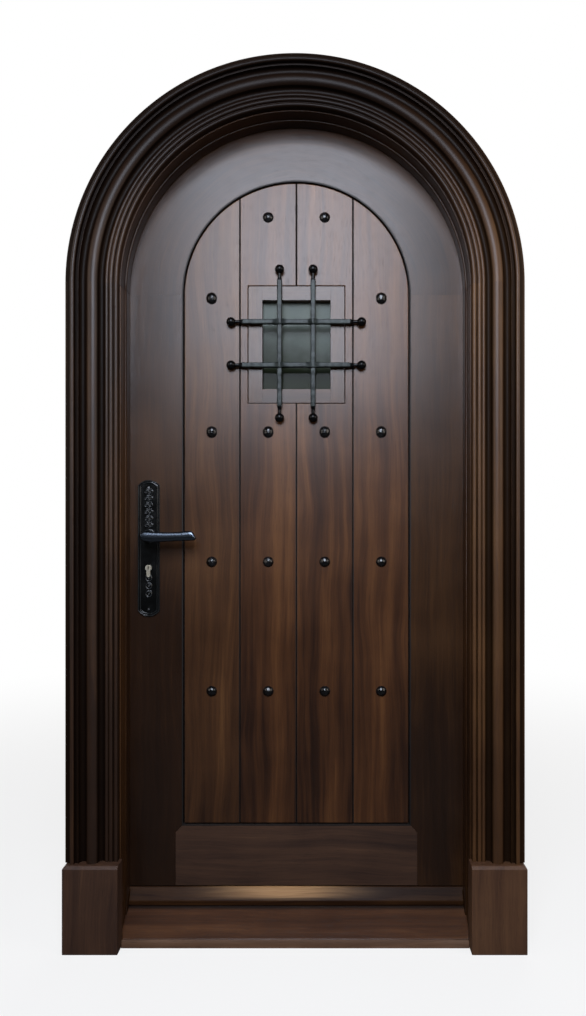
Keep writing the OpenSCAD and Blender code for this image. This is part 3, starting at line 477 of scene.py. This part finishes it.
def easedCopy(node, radius, material):
    # a merged copy of a CAD node whose long sharp edges are rounded over
    source = nodes[node].data
    source.calc_loop_triangles()
    corners = np.empty(len(source.loop_triangles) * 3, int)
    source.loop_triangles.foreach_get("vertices", corners)
    mesh = bpy.data.meshes.new(node + "_eased")
    mesh.from_pydata(meshPoints(source).tolist(), [], corners.reshape(-1, 3).tolist())
    work = bmesh.new()
    work.from_mesh(mesh)
    bmesh.ops.remove_doubles(work, verts=work.verts, dist=easing["weld"])
    flat = math.radians(easing["flat"])
    bmesh.ops.dissolve_limit(work, angle_limit=flat, verts=work.verts, edges=work.edges)
    weight = work.edges.layers.float.new("bevel_weight_edge")
    for edge in work.edges:
        bent = len(edge.link_faces) == 2 and edge.calc_face_angle(0.0) > math.radians(easing["bent"])
        eased = bent and edge.calc_length() > easing["shortest"]
        edge[weight] = float(eased)
        edge.smooth = eased or not bent
    work.to_mesh(mesh)
    work.free()
    mesh.shade_smooth()
    piece = dress(node + "_eased", mesh, node, nodes[node]["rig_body"], material)
    bevel = piece.modifiers.new("easedEdges", "BEVEL")
    bevel.limit_method = "WEIGHT"
    bevel.width = radius
    bevel.segments = easing["segments"]
    bevel.use_clamp_overlap = False
    bevel.harden_normals = True


# Casing: one moulding carried up both sides and over the arch, its section in millimetres
casing = {
    "inner": 0.455,  # metres from the door's middle to the section's zero
    "front": [(1, 16), (34, 17), (34.01, 24), (84, 24), (84.01, 33), (99, 33), (99.01, 26), (107, 26),
              (107.01, 33), (118.5, 33), (118.51, 31), (133, 24)],
    "beads": [(5.3, 16.4, 5.2), (18.3, 16.4, 5.6), (29, 17.4, 4.6), (63.5, 18.5, 17.5), (112.8, 33.3, 5.7)],
    "hollows": [(40.5, 22, 8), (87.5, 27, 9.5)],  # middle, level and radius, as for the beads
    "margin": 0.2,  # where the section starts
    "samples": 300,
    "ease": 3,  # samples over which an arris is rounded
    "reach": 9.0,  # how far a quirk's crests may lie
    "lidEase": 25,  # samples over which the crests' height is evened out
    "deep": 9.0,  # depth at which a quirk is fully hidden
    "steep": (1.25, 0.35, 0.2),  # bareness of a level face, loss with the slope, least
    "edgeBare": 0.5,  # bareness of the two edges at the back
    "arcSteps": 150,
    "crease": 50.0,
}
# quirk: painted shade, a dark matt layer in the deep and steep parts of the section
casingFinish = {"figure": 0.4, "rough": 0.44, "specular": 0.36,
                "quirk": {"span": (0.75, 0.15), "ragged": 0.25, "mix": 0.8}}
casingLegs = {"left": (-1, 2.3, 0.36), "right": (1, 8.1, 0.64)}  # side, seed, tone; the right leg's tone is raised as painted light
# painted light: the arch gets lighter from left to right to meet both legs; painted shade: darker and matt
# towards the crown
casingCrown = {"seed": 5.7, "tone": 0.50, "paintedLightLean": 0.27,
               "paintedShade": {"span": (springZ + 0.02, springZ + 0.48), "by": 0.19, "matt": 0.70}}


def casingSection():
    # height over the back = the tallest of the flats and the beads' circles, less the hollows' circles,
    # then a short running mean; bareness = 1 at the crests, less with depth below them and with slope, which
    # places the quirks' painted shade
    u = np.linspace(casing["margin"], casing["front"][-1][0], casing["samples"])
    flats = np.array(casing["front"])
    v = np.interp(u, flats[:, 0], flats[:, 1])
    for middle, level, radius in casing["beads"]:
        chord = np.sqrt(np.maximum(radius ** 2 - (u - middle) ** 2, 0))
        v = np.where(chord > 0, np.maximum(v, level + chord), v)
    for middle, level, radius in casing["hollows"]:
        chord = np.sqrt(np.maximum(radius ** 2 - (u - middle) ** 2, 0))
        v = np.where(chord > 0, np.minimum(v, level - chord), v)
    v = runningMean(v, casing["ease"])
    closed = np.concatenate([[[u[0], 0.0]], np.column_stack([u, v]), [[u[-1], 0.0]]])
    near = np.abs(u[:, None] - u) < casing["reach"]
    lid = runningMean(np.where(near, v, 0.0).max(axis=1), casing["lidEase"])
    level, loss, least = casing["steep"]
    shallow = np.clip(1 - (lid - v) / casing["deep"], 0, 1)
    crest = shallow * np.clip(level - np.abs(np.gradient(v, u[1] - u[0])) * loss, least, 1)
    crest = np.pad(crest, 1, constant_values=casing["edgeBare"])
    return closed * toMetres + np.array([casing["inner"], 0.0]), crest


def sweepFaces(rings, count):
    caps = [list(range(count)), list(range((rings - 1) * count, rings * count))]
    return gridFaces(rings, count, closedColumns=True).tolist() + caps


def sweepUp(section, side, low, high):
    # a section (distance from the middle, height over the back) set at two heights on one side
    ring = np.column_stack([side * section[:, 0], -section[:, 1]])
    rings = np.stack([np.column_stack([ring, np.full(len(ring), z)]) for z in (low, high)])
    return rings, sweepFaces(2, len(ring))


def sweepOver(section, steps):
    # the same section turned through half a circle about the arch centre
    angle = np.linspace(0, np.pi, steps)[:, None]
    x = section[:, 0] * np.cos(angle)
    z = springZ + section[:, 0] * np.sin(angle)
    y = np.broadcast_to(-section[:, 1], x.shape)
    return np.stack([x, y, z], -1), sweepFaces(steps, len(section))


def buildCasing():
    section, crest = casingSection()
    runs = {}
    for name, (side, seed, tone) in casingLegs.items():
        finish = mahogany("casingWood_" + name, "z", seed, tone, **casingFinish)
        runs["casing_" + name] = (sweepUp(section, side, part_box("casing_left")[0].z, springZ), finish)
    finish = mahogany("casingWood_arch", "arc", **casingCrown, **casingFinish)
    runs["casing_arch"] = (sweepOver(section, casing["arcSteps"]), finish)
    for node, ((points, faces), finish) in runs.items():
        makePiece(node + "_moulding", points, faces, node, "frame", finish, casing["crease"],
                  np.tile(crest, len(points)))


buildCasing()
print("casing moulded")


# Joinery: copies of the CAD pieces with eased edges, each with its own run of grain
joinery = {  # node: (grain, seed, tone, figure, roughness, edge radius in metres, joints that show, tint)
    "jamb_left": ("z", 1.1, 0.56, 0.35, 0.34, 0.0015, None, None),
    "jamb_right": ("z", 3.9, 0.46, 0.35, 0.34, 0.0015, None, None),
    "jamb_arch": ("arc", 6.3, 0.40, 0.35, 0.34, 0.0015, None, None),
    "stop_left": ("z", 4.4, 0.44, 0.4, 0.30, 0.0012, None, None),
    "stop_right": ("z", 9.2, 0.42, 0.4, 0.30, 0.0012, None, None),
    "stop_arch": ("arc", 2.8, 0.38, 0.4, 0.30, 0.0012, None, None),
    # painted reflection in part: the plinths, shoe and bottom rail get strong blue tints for the grey of the
    # ground mirrored in them, and the shoe a raised tone for the light it catches
    "plinth_left": ("z", 7.3, 0.57, 0.5, 0.52, 0.0020, None, (1.06, 1.18, 1.90)),
    "plinth_right": ("z", 12.9, 0.68, 0.5, 0.52, 0.0020, None, (1.08, 1.14, 1.70)),
    "sill_shoe": ("x", 18.8, 0.82, 0.5, 0.44, 0.0010, None, (1.06, 1.22, 2.10)),
    "stile_left": ("z", 21.7, 0.41, 0.35, 0.30, 0.0002, "panel", None),
    "stile_right": ("z", 25.1, 0.50, 0.40, 0.30, 0.0002, "panel", None),
    "arch_head": ("arc", 28.6, 0.45, 0.35, 0.30, 0.0002, "panel", None),
    "bottom_rail": ("x", 31.4, 0.55, 0.5, 0.52, 0.0014, "panel", (1.06, 1.22, 2.00)),
    "board_1": ("z", 34.9, 0.66, 0.7, 0.32, 0.0022, "boards", (1.00, 0.98, 1.08)),
    "board_2": ("z", 38.2, 0.64, 0.8, 0.32, 0.0022, "boards", (1.02, 0.93, 1.00)),
    "board_3": ("z", 41.5, 0.65, 1.0, 0.32, 0.0022, "boards", (1.02, 0.93, 1.00)),
    "board_4": ("z", 44.8, 0.70, 0.8, 0.32, 0.0022, "boards", (1.03, 0.93, 1.00)),
    "sash_left": ("z", 48.3, 0.58, 0.5, 0.30, 0.0002, None, None),
    "sash_right": ("z", 51.6, 0.60, 0.5, 0.30, 0.0002, None, None),
    "sash_top": ("x", 54.9, 0.58, 0.5, 0.30, 0.0002, None, None),
    "sash_bottom": ("x", 58.2, 0.58, 0.5, 0.30, 0.0002, None, None),
    "glazing_beads": ("z", 61.5, 0.55, 0.5, 0.30, 0.0010, None, None),
}
revealSpecular = 0.20  # jambs and stops are less polished than the leaf
footPaintedShade = {"span": (1.20, 0.35), "by": 0.13}  # painted shade: the leaf darkens towards its foot, where less light reaches it


def buildJoinery():
    for node, (grain, seed, tone, figure, rough, radius, joints, tint) in joinery.items():
        # painted shade towards the foot, on every leaf piece but the bottom rail
        leafShade = footPaintedShade if nodes[node]["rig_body"] == "leaf" and node != "bottom_rail" else None
        specular = revealSpecular if node.startswith(("jamb", "stop")) else None
        finish = mahogany(node + "_wood", grain, seed, tone, figure, rough, specular, joints=joints,
                          paintedShade=leafShade, tint=tint)
        easedCopy(node, radius, finish)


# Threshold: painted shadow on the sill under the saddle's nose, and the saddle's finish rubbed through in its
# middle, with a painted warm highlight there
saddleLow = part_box("saddle")[0]
sill = {"edge": 0.0015, "seed": 15.2, "tone": 0.61, "figure": 0.6, "tint": (1.06, 0.97, 1.14),
        "paintedShadow": {"span": (saddleLow.y - 0.012, saddleLow.y - 0.002), "mix": 0.9}}
saddle = {"edge": 0.0025, "seed": 64.8, "tone": 0.39, "figure": 0.6, "rough": 0.40, "specular": 0.06,
          "wearAndHighlight": {"x": -0.040, "half": 0.34, "ragged": 0.14, "frayed": 0.004, "mix": 0.92,
                   "lip": (saddleLow.z + 0.012, saddleLow.z + 0.026),
                   "dark": (0.26, 0.130, 0.050), "light": (0.54, 0.320, 0.150)}}


def buildThreshold():
    for node, settings in (("sill", sill), ("saddle", saddle)):
        looks = {key: value for key, value in settings.items() if key != "edge"}
        easedCopy(node, settings["edge"], mahogany(node + "_wood", "x", **looks))


buildJoinery()
buildThreshold()
print("joinery eased")


# Domed studs: a spherical cap cut by flats at random tilts, so that it looks hammered
studs = {"radius": 0.0145, "height": 0.009, "shank": 0.003, "shankLength": 0.026, "flats": 15, "cut": 0.75,
         "sink": (0.965, 0.990), "leastFacing": 0.3, "rings": 26, "around": 56, "seed": 7, "crease": 24.0,
         "cell": 0.04, "topDepth": 0.0005}  # the last two find the studs' middles


def headings(tilt, turn):  # unit vectors tilted away from -Y
    return np.stack([np.sin(tilt) * np.cos(turn), -np.cos(tilt) + 0 * turn, np.sin(tilt) * np.sin(turn)], -1)


def studSurface(middle, rng):
    # distance from the cap's centre = mix of the sphere's radius and the nearest of the flats' planes
    capRadius = (studs["radius"] ** 2 + studs["height"] ** 2) / (2 * studs["height"])
    edge = math.asin(studs["radius"] / capRadius)
    ray = headings(np.linspace(0, 1, studs["rings"])[:, None] * edge, onceRound(studs["around"]))
    flatTilt = edge * np.sqrt(rng.uniform(0.0, 1.0, studs["flats"]))
    flat = headings(flatTilt, rng.uniform(0, 2 * np.pi, studs["flats"]))
    sink = rng.uniform(*studs["sink"], studs["flats"])
    reach = np.min(sink / np.maximum(ray @ flat.T, studs["leastFacing"]), axis=-1)
    reach = 1 - studs["cut"] * (1 - np.minimum(reach, 1.0))
    cap = ray * (capRadius * reach)[..., None]
    cap[..., 1] += capRadius - studs["height"]
    rim = cap[-1:] * np.array([1.0, 0.0, 1.0])
    narrow = studs["shank"] / studs["radius"]
    shank = rim * np.array([narrow, 1.0, narrow])
    end = shank + np.array([0, studs["shankLength"], 0])
    tip = end * np.array([0.0, 1.0, 0.0])
    return np.concatenate([cap, rim, shank, end, tip]) + np.array(middle)


def studPlaces():
    # the studs' middles, read from the tops of the CAD node's solids: one cluster of points for each
    points = meshPoints(nodes["clavos"].data)
    tops = points[points[:, 1] < points[:, 1].min() + studs["topDepth"]][:, [0, 2]]
    keys = np.round(tops / studs["cell"]).astype(int)
    return [tops[(keys == cell).all(axis=1)].mean(axis=0) for cell in np.unique(keys, axis=0)]


def buildStuds():
    rng = np.random.default_rng(studs["seed"])
    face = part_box("clavos")[0].y + studs["height"]
    places = studPlaces()
    points, faces = joinTubes([studSurface((x, face, z), rng) for x, z in places])
    makePiece("hammered_studs", points, faces, "clavos", "leaf", ironBlack, studs["crease"])
    print("studs:", len(places))


buildStuds()


# Grille: square bars with forged necks and balls; the level bars swell into eyes
grille = {"half": 0.0065, "ball": 0.0125, "neck": 0.0048, "neckLength": 0.008, "flare": 0.012,
          "eye": 0.0105, "eyeLength": 0.011, "eyeHeight": 0.28, "round": 2, "square": 9,
          "beats": (310, 170, 95), "phase": 6.3, "beaten": 0.018, "bareRise": 6.0, "around": 40, "steps": 420,
          "pin": 0.003, "pinDepth": 0.040, "pinAround": 16, "seed": 11, "crease": 40.0}


def superellipse(angle, power):  # distance from the middle to a curve between a circle (2) and a square
    return (np.abs(np.cos(angle)) ** power + np.abs(np.sin(angle)) ** power) ** (-1 / power)


def barSurface(middle, length, lying, eyes, rng):
    # half-size along s: ball = circle, neck, then a flare to the square bar; section = superellipse
    # whose power grows with the flare; eyes swell it towards the front and back
    ball, neck, half = grille["ball"], grille["neck"], grille["half"]
    end = length / 2
    s = np.linspace(-end - ball, end + ball, grille["steps"])[:, None]
    inside = end - np.abs(s)  # distance from the ball's middle towards the bar
    sphere = np.sqrt(np.maximum(ball ** 2 - inside ** 2, 0))
    flare = np.clip((inside - ball - grille["neckLength"]) / grille["flare"], 0, 1)
    flare = flare * flare * (3 - 2 * flare)
    size = np.where(inside > 0, np.maximum(sphere, neck + (half - neck) * flare), sphere)
    angle = onceRound(grille["around"]) + np.pi / grille["around"]
    corner = superellipse(angle, grille["round"] + (grille["square"] - grille["round"]) * flare)
    phases = rng.uniform(0, grille["phase"], len(grille["beats"]))
    beat = sum(np.sin(s * rate + phase) for rate, phase in zip(grille["beats"], phases))
    size = size * corner * (1 + grille["beaten"] * beat * flare)
    swell = sum((np.exp(-((s - eye) / grille["eyeLength"]) ** 2) for eye in eyes), np.zeros_like(s))
    sideways = size * np.cos(angle) * (1 + grille["eyeHeight"] * swell)
    forward = size * np.sin(angle) * (1 + (grille["eye"] / half - 1) * swell)
    run = np.broadcast_to(s, size.shape)
    rise = grille["bareRise"]
    bare = np.broadcast_to(np.clip(flare * rise - (rise - 1), 0, 1), size.shape)
    order = [run, forward, sideways] if lying else [sideways, forward, run]
    return np.stack(order, -1) + np.array(middle), bare


def pinSurface(x, y, z):  # a closed cylinder that runs back from a ball
    turn = onceRound(grille["pinAround"])
    radius = np.array([0.0, grille["pin"], grille["pin"], 0.0])[:, None]
    depth = np.array([0.0, 0.0, grille["pinDepth"], grille["pinDepth"]])[:, None]
    return np.stack([x + radius * np.cos(turn), y + depth + 0 * turn, z + radius * np.sin(turn)], -1)


def buildGrille():
    rng = np.random.default_rng(grille["seed"])
    uprights = ("grille_left", "grille_right")
    crossings = [sum(corner.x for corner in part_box(node)) / 2 for node in uprights]
    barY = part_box("grille_upper")[0].y + grille["ball"]
    for node in (*uprights, "grille_upper", "grille_lower"):
        low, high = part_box(node)
        lying = node not in uprights
        middle = np.array([(low.x + high.x) / 2, barY, (low.z + high.z) / 2])
        length = (high.x - low.x if lying else high.z - low.z) - 2 * grille["ball"]
        toEnd = np.array([length / 2, 0, 0] if lying else [0, 0, length / 2])
        bar, bare = barSurface(middle, length, lying, crossings if lying else (), rng)
        pins = [pinSurface(*(middle - toEnd)), pinSurface(*(middle + toEnd))]
        points, faces = joinTubes([bar, *pins])
        bare = np.pad(bare.ravel(), (0, len(points) - bare.size))
        makePiece(node + "_forged", points, faces, node, "leaf", ironBar, grille["crease"], bare)


buildGrille()
print("grille forged")


# Handle plates: a double raised border, small scrolls above the lever, curled rings below; millimetres
plate = {"thick": 6.0, "field": 2.7, "rows": 620, "columns": 96, "endRadius": 0.62, "crease": 60.0}
border = {"outer": 1.6, "inner": 7.0, "innerHeight": 0.9, "width": 1.0, "height": 1.7, "edge": 0.8,
          "lip": 0.5}
ornament = {"upper": (30, 48, 66, 84, 102, 120), "lower": (-113, -134, -155), "fine": 0.74, "from": 7.8,
            "ease": 1.0, "height": 2.2, "sink": 0.5, "collar": 16.5, "collarWidth": 1.3, "rubbed": (1.6, 0.7)}
scroll = {"points": 60, "reach": 7.6, "curl": 0.8, "least": 1.0, "turn": (0.55, 2.6), "aside": 8.6,
          "ridge": 1.5, "bead": 2.6, "beadDrop": 10, "leafAside": 2.6, "leafLift": 3, "leaf": (1.3, 5.5),
          "leafHeight": 0.8, "band": 20}
rose = {"ring": 7.6, "ridge": 1.3, "opening": 3.0, "closed": 1.25, "bead": 2.8, "band": 12}


def ridgeAt(distance, middle, width):  # a rounded ridge: falls off with the square of the distance
    return np.exp(-(((distance - middle) / width) ** 2))


def beadAt(squared, radius):  # a half ball of height 1 over the square of the distance
    return np.sqrt(np.maximum(radius ** 2 - squared, 0)) / radius


def scrollHeight(x, z, level):
    # a ridge along one spiral, mirrored about the middle line, with a bead below it and two leaves
    t = np.linspace(0.0, 1.0, scroll["points"])
    reach = scroll["reach"] * (1 - t) ** scroll["curl"] + scroll["least"]
    angle = np.pi * (scroll["turn"][0] + scroll["turn"][1] * t)
    spineX, spineZ = scroll["aside"] + reach * np.cos(angle), level + reach * np.sin(angle)
    gap = np.min((np.abs(x)[..., None] - spineX) ** 2 + (z[..., None] - spineZ) ** 2, axis=-1)
    bead = beadAt(x ** 2 + (z - level + scroll["beadDrop"]) ** 2, scroll["bead"])
    wide, tall = scroll["leaf"]
    leaf = ridgeAt(np.abs(x), scroll["leafAside"], wide) * ridgeAt(z - level, scroll["leafLift"], tall)
    return np.maximum(np.exp(-gap / scroll["ridge"] ** 2), np.maximum(bead, scroll["leafHeight"] * leaf))


def roseHeight(x, z, level):
    # a curled ring open at the top, with a bead in its middle
    away = np.hypot(x, z - level)
    opening = np.clip(rose["closed"] - ridgeAt(x, 0, rose["opening"]) * (z > level), 0, 1)
    return np.maximum(ridgeAt(away, rose["ring"], rose["ridge"]) * opening, beadAt(away ** 2, rose["bead"]))


def plateRelief(x, z, half, tall, end, axisLift):
    # height over the field: two ridges beside the edge, and the ornament, measured from the lever's axis;
    # rubbed = 1 on the tops of both, where they are rubbed bright and carry a painted highlight
    fromEnd = np.where(np.abs(z) > tall - end, end - np.hypot(x, np.abs(z) - tall + end), np.inf)
    away = np.minimum(half - np.abs(x), fromEnd)
    ridge = ridgeAt(away, border["outer"], border["width"])
    ridge = ridge + border["innerHeight"] * ridgeAt(away, border["inner"], border["width"])
    rounded = np.clip(away / border["edge"], 0, 1) ** 0.5
    field = np.clip((away - ornament["from"]) / ornament["ease"], 0, 1)
    lift = z - axisLift
    raised = ridgeAt(np.hypot(x, lift), ornament["collar"], ornament["collarWidth"])
    fine = ornament["fine"]
    for level in ornament["upper"]:
        band = np.abs(lift - level) < scroll["band"]
        curl = scrollHeight(x[band] / fine, lift[band] / fine, level / fine)
        raised[band] = np.maximum(raised[band], curl)
    for level in ornament["lower"]:
        band = np.abs(lift - level) < rose["band"]
        raised[band] = np.maximum(raised[band], roseHeight(x[band], lift[band], level))
    gain, least = ornament["rubbed"]
    rubbed = np.clip(np.maximum(ridge, raised * field) * gain - least, 0, 1)
    height = ridge * border["height"] + rounded * border["lip"]
    return height + field * (raised * ornament["height"] - ornament["sink"]), rubbed


def spindleAxis():  # X and Z of the axis that the levers turn about
    low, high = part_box("spindle")
    return (low.x + high.x) / 2, (low.z + high.z) / 2


def buildPlate(node, outward):
    # x = share of the half width, which narrows along the circles at both ends; y = seat + thickness of the
    # field + relief; two more columns close the grid at the seat
    low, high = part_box(node)
    half, tall = (high.x - low.x) / 2 * toMillimetres, (high.z - low.z) / 2 * toMillimetres
    end = 2 * half * plate["endRadius"]
    middleX, middleZ = (low.x + high.x) / 2, (low.z + high.z) / 2
    seat, face = (low.y, high.y) if outward > 0 else (high.y, low.y)
    z = np.linspace(-tall, tall, plate["rows"])[:, None]
    chord = np.sqrt(np.maximum(end ** 2 - np.maximum(np.abs(z) - tall + end, 0) ** 2, 0))
    x = np.linspace(-1, 1, plate["columns"])[None, :] * np.minimum(chord, half)
    z = np.broadcast_to(z, x.shape)
    axisLift = (spindleAxis()[1] - middleZ) * toMillimetres
    height, rubbed = plateRelief(x, z, half, tall, end, axisLift)
    y = seat + outward * (plate["thick"] - plate["field"] + height) * toMetres
    y = np.clip(y, min(face, seat), max(face, seat))
    front = np.stack([x * toMetres + middleX, y, z * toMetres + middleZ], -1)
    back = front[:, [-1, 0]]  # the two long edges, brought back to the seat
    back[..., 1] = seat
    ring = np.concatenate([front, back], axis=1)
    bare = np.pad(rubbed, ((0, 0), (0, 2)))
    faces = gridFaces(*ring.shape[:2], closedColumns=True)
    makePiece(node + "_embossed", ring, faces, node, nodes[node]["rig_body"], ironPlate,
              plate["crease"], bare)


buildPlate("plate_outside", -1)
buildPlate("plate_inside", 1)
print("handle plates embossed")


# Levers: a rounded grip with a gentle wave, on a round neck; millimetres from the spindle's axis
lever = {"top": [(-14, 0), (-11, 9), (-4, 13), (0, 13.5), (22, 12.5), (45, 11.5), (68, 11), (90, 12),
                 (108, 14), (119, 15), (126, 12.5), (135, -3)],
         "under": [(-14, 0), (-11, -9), (-4, -13), (0, -14), (15, -15.5), (35, -15), (62, -13.5), (92, -12),
                   (130, -11), (134, -8), (135, -3)],
         "thick": 16.0, "power": 2.5, "blunt": 5.0, "tip": 0.35, "smooth": 7, "steps": 170, "around": 56,
         "neck": 10.0, "waist": 0.12, "neckSteps": 40, "neckAround": 40, "crease": 50.0}


def smoothLine(points, t):
    # a few outline points, interpolated and then softened by a running mean
    places, heights = np.array(points, float).T
    return runningMean(np.interp(t, places, heights), lever["smooth"])


def gripSurface():
    # along s: superellipse between the top and the under line, quarter round at both ends
    first, last = lever["top"][0][0], lever["top"][-1][0]
    share = 0.5 - 0.5 * np.cos(np.pi * np.linspace(0, 1, lever["steps"]))  # closer at the ends
    s = first + (last - first) * share
    top, under = smoothLine(lever["top"], s)[:, None], smoothLine(lever["under"], s)[:, None]
    s = s[:, None]
    near = np.clip(np.minimum(s - first, last - s) / lever["blunt"], 0, 1)
    ends = np.sqrt(1 - (1 - near) ** 2)
    half = (top - under) / 2 * (lever["tip"] + (1 - lever["tip"]) * ends) * (near > 0)
    angle = onceRound(lever["around"])
    corner = superellipse(angle, lever["power"])
    z = (top + under) / 2 + corner * np.cos(angle) * half
    return np.stack([np.broadcast_to(s, z.shape), corner * np.sin(angle) * lever["thick"] / 2 * ends, z], -1)


def neckSurface(length):
    # a cylinder with a slight waist, closed at both ends
    steps = lever["neckSteps"]
    span = np.linspace(0, 1, steps)[:, None]
    radius = lever["neck"] * (1 - lever["waist"] * np.sin(np.pi * span) ** 2)
    radius = np.where((span == 0) | (span == 1), 0.0, radius)
    along = length * np.clip((np.arange(steps)[:, None] - 1) / (steps - 3), 0, 1)
    turn = onceRound(lever["neckAround"])
    return np.stack([radius * np.cos(turn), along + 0 * turn, radius * np.sin(turn)], -1)


def buildLever(node, outward):
    low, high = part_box(node)
    axisX, axisZ = spindleAxis()
    seat, outer = (low.y, high.y) if outward > 0 else (high.y, low.y)
    gripY = outer - outward * lever["thick"] / 2 * toMetres
    grip = gripSurface() * toMetres + np.array([axisX, gripY, axisZ])
    neck = neckSurface((gripY - seat) * toMillimetres) * toMetres + np.array([axisX, seat, axisZ])
    points, faces = joinTubes([grip, neck])
    makePiece(node + "_forged", points, faces, node, "levers", ironLever, lever["crease"])


buildLever("lever_outside", -1)
buildLever("lever_inside", 1)
print("levers forged")


# Finishes of the CAD nodes that stay
nodeFinish = {
    hingeSteel: ["strike_plate", "hinge_jamb_leaves", "hinge_pins", "hinge_door_leaves", "sash_hinge_fixed",
                 "sash_hinge_moving"],
    lockSteel: ["frame_screws", "leaf_screws", "plate_screws", "lock_case", "lock_forend", "spindle",
                "follower", "latch_bolt", "dead_bolt"],
    nickelBrass: ["cylinder_body", "cylinder_plug"],
    ironBlack: ["turn_button", "sash_knob"],
    sealRubber: ["frame_seal", "bottom_sweep"],
    obscuredGlass: ["glass"],
}
for material, names in nodeFinish.items():
    for name in names:
        nodes[name].data.materials.clear()
        nodes[name].data.materials.append(material)
print("CAD nodes finished")


# Stage: white round the object for the camera, a dim even room for the light, a soft box high in front,
# a panel at each side and a box behind
stage = {"floor": 9.0, "floorSteps": 9, "drop": 0.0002, "room": 0.05, "white": 0.78, "pale": 0.80,
         "bounce": 0.12, "fade": (1.0, 4.5), "speck": (3.0, 3.0, 0.5), "specked": 0.04, "clean": 0.98,
         "backdrop": (0.0, 0.4), "aim": (0.0, 0.0, 1.3)}
softBoxes = {  # name: (place, width and height, radiance, colour)
    "frontBox": ((-0.06, -2.25, 2.56), (1.22, 1.5), 15.4, (0.79, 0.86, 1.0)),
    "leftPanel": ((-3.2, -1.9, 2.3), (2.0, 2.0), 2.2, (1.0, 0.92, 0.84)),
    "rightPanel": ((3.2, -1.9, 2.3), (2.0, 2.0), 3.2, (1.0, 0.91, 0.82)),
    "rearBox": ((1.5, 4.5, 3.5), (4.0, 2.5), 2.4, (1.0, 0.97, 0.93)),
}


def seenRays(start):  # rays that show the white directly or through glass
    camera = start.add("ShaderNodeLightPath", output="Is Camera Ray")
    return start.maths("MAXIMUM", camera, start.add("ShaderNodeLightPath", output="Is Transmission Ray"))


def buildFloor():
    material, start = newMaterial("paleFloor")
    place, (x, y, _) = coordinates(start)
    seen = seenRays(start)
    far = rising(start, start.maths("SQRT", x * x + y * y), *stage["fade"])  # no horizon against the white
    cover = far * (1 - stage["white"]) + stage["white"]
    speck = noise(start, place, *stage["speck"]) * stage["specked"] + stage["clean"]
    tone = (seen * (stage["pale"] - stage["bounce"]) + stage["bounce"]) * speck
    tint = start.add("ShaderNodeCombineColor", inputs={0: tone, 1: tone, 2: tone})
    matt = start.add("ShaderNodeBsdfDiffuse", inputs={"Color": tint})
    white = start.add("ShaderNodeEmission", inputs={"Strength": 1.0})
    shader = start.add("ShaderNodeMixShader", inputs={0: seen * cover, 1: matt, 2: white})
    start.add("ShaderNodeOutputMaterial", inputs={"Surface": shader})
    steps = stage["floorSteps"]
    side = np.linspace(-stage["floor"], stage["floor"], steps)
    acrossFloor, alongFloor = np.meshgrid(side, side, indexing="ij")
    points = np.stack([acrossFloor, alongFloor, np.full(acrossFloor.shape, -stage["drop"])], -1)
    mesh = bpy.data.meshes.new("floor")
    mesh.from_pydata(points.reshape(-1, 3).tolist(), [], gridFaces(steps, steps).tolist())
    mesh.materials.append(material)
    addObject("floor", mesh)


def buildWorld():
    world = bpy.data.worlds.new("studio")
    bpy.context.scene.world = world
    world.use_nodes = True
    world.node_tree.nodes.clear()
    start = Socket(world.node_tree)
    heading = start.add("ShaderNodeTexCoord", output="Generated")
    away = start.add("ShaderNodeSeparateXYZ", inputs={0: heading}, output=1)
    behind = rising(start, away, *stage["backdrop"])  # the white backdrop stands behind the object
    mirrored = start.add("ShaderNodeLightPath", output="Is Glossy Ray") * behind
    seen = start.maths("MAXIMUM", seenRays(start), mirrored)
    colour = mixed(start, seen, (stage["room"],) * 3, (1.0, 1.0, 1.0))
    light = start.add("ShaderNodeBackground", inputs={"Color": colour})
    start.add("ShaderNodeOutputWorld", inputs={"Surface": light})


def softBox(name, place, size, radiance, colour):
    data = bpy.data.lights.new(name, "AREA")
    data.shape = "RECTANGLE"
    data.size, data.size_y = size
    data.energy = radiance * math.pi * size[0] * size[1]
    data.color = colour
    box = addObject(name, data)
    box.location = place
    heading = np.array(stage["aim"]) - np.array(place)
    flat = math.hypot(heading[0], heading[1])
    box.rotation_euler = (math.atan2(flat, -heading[2]), 0, math.atan2(heading[1], heading[0]) - math.pi / 2)
    box.visible_camera = False


buildFloor()
buildWorld()
for name, settings in softBoxes.items():
    softBox(name, *settings)
print("stage lit")
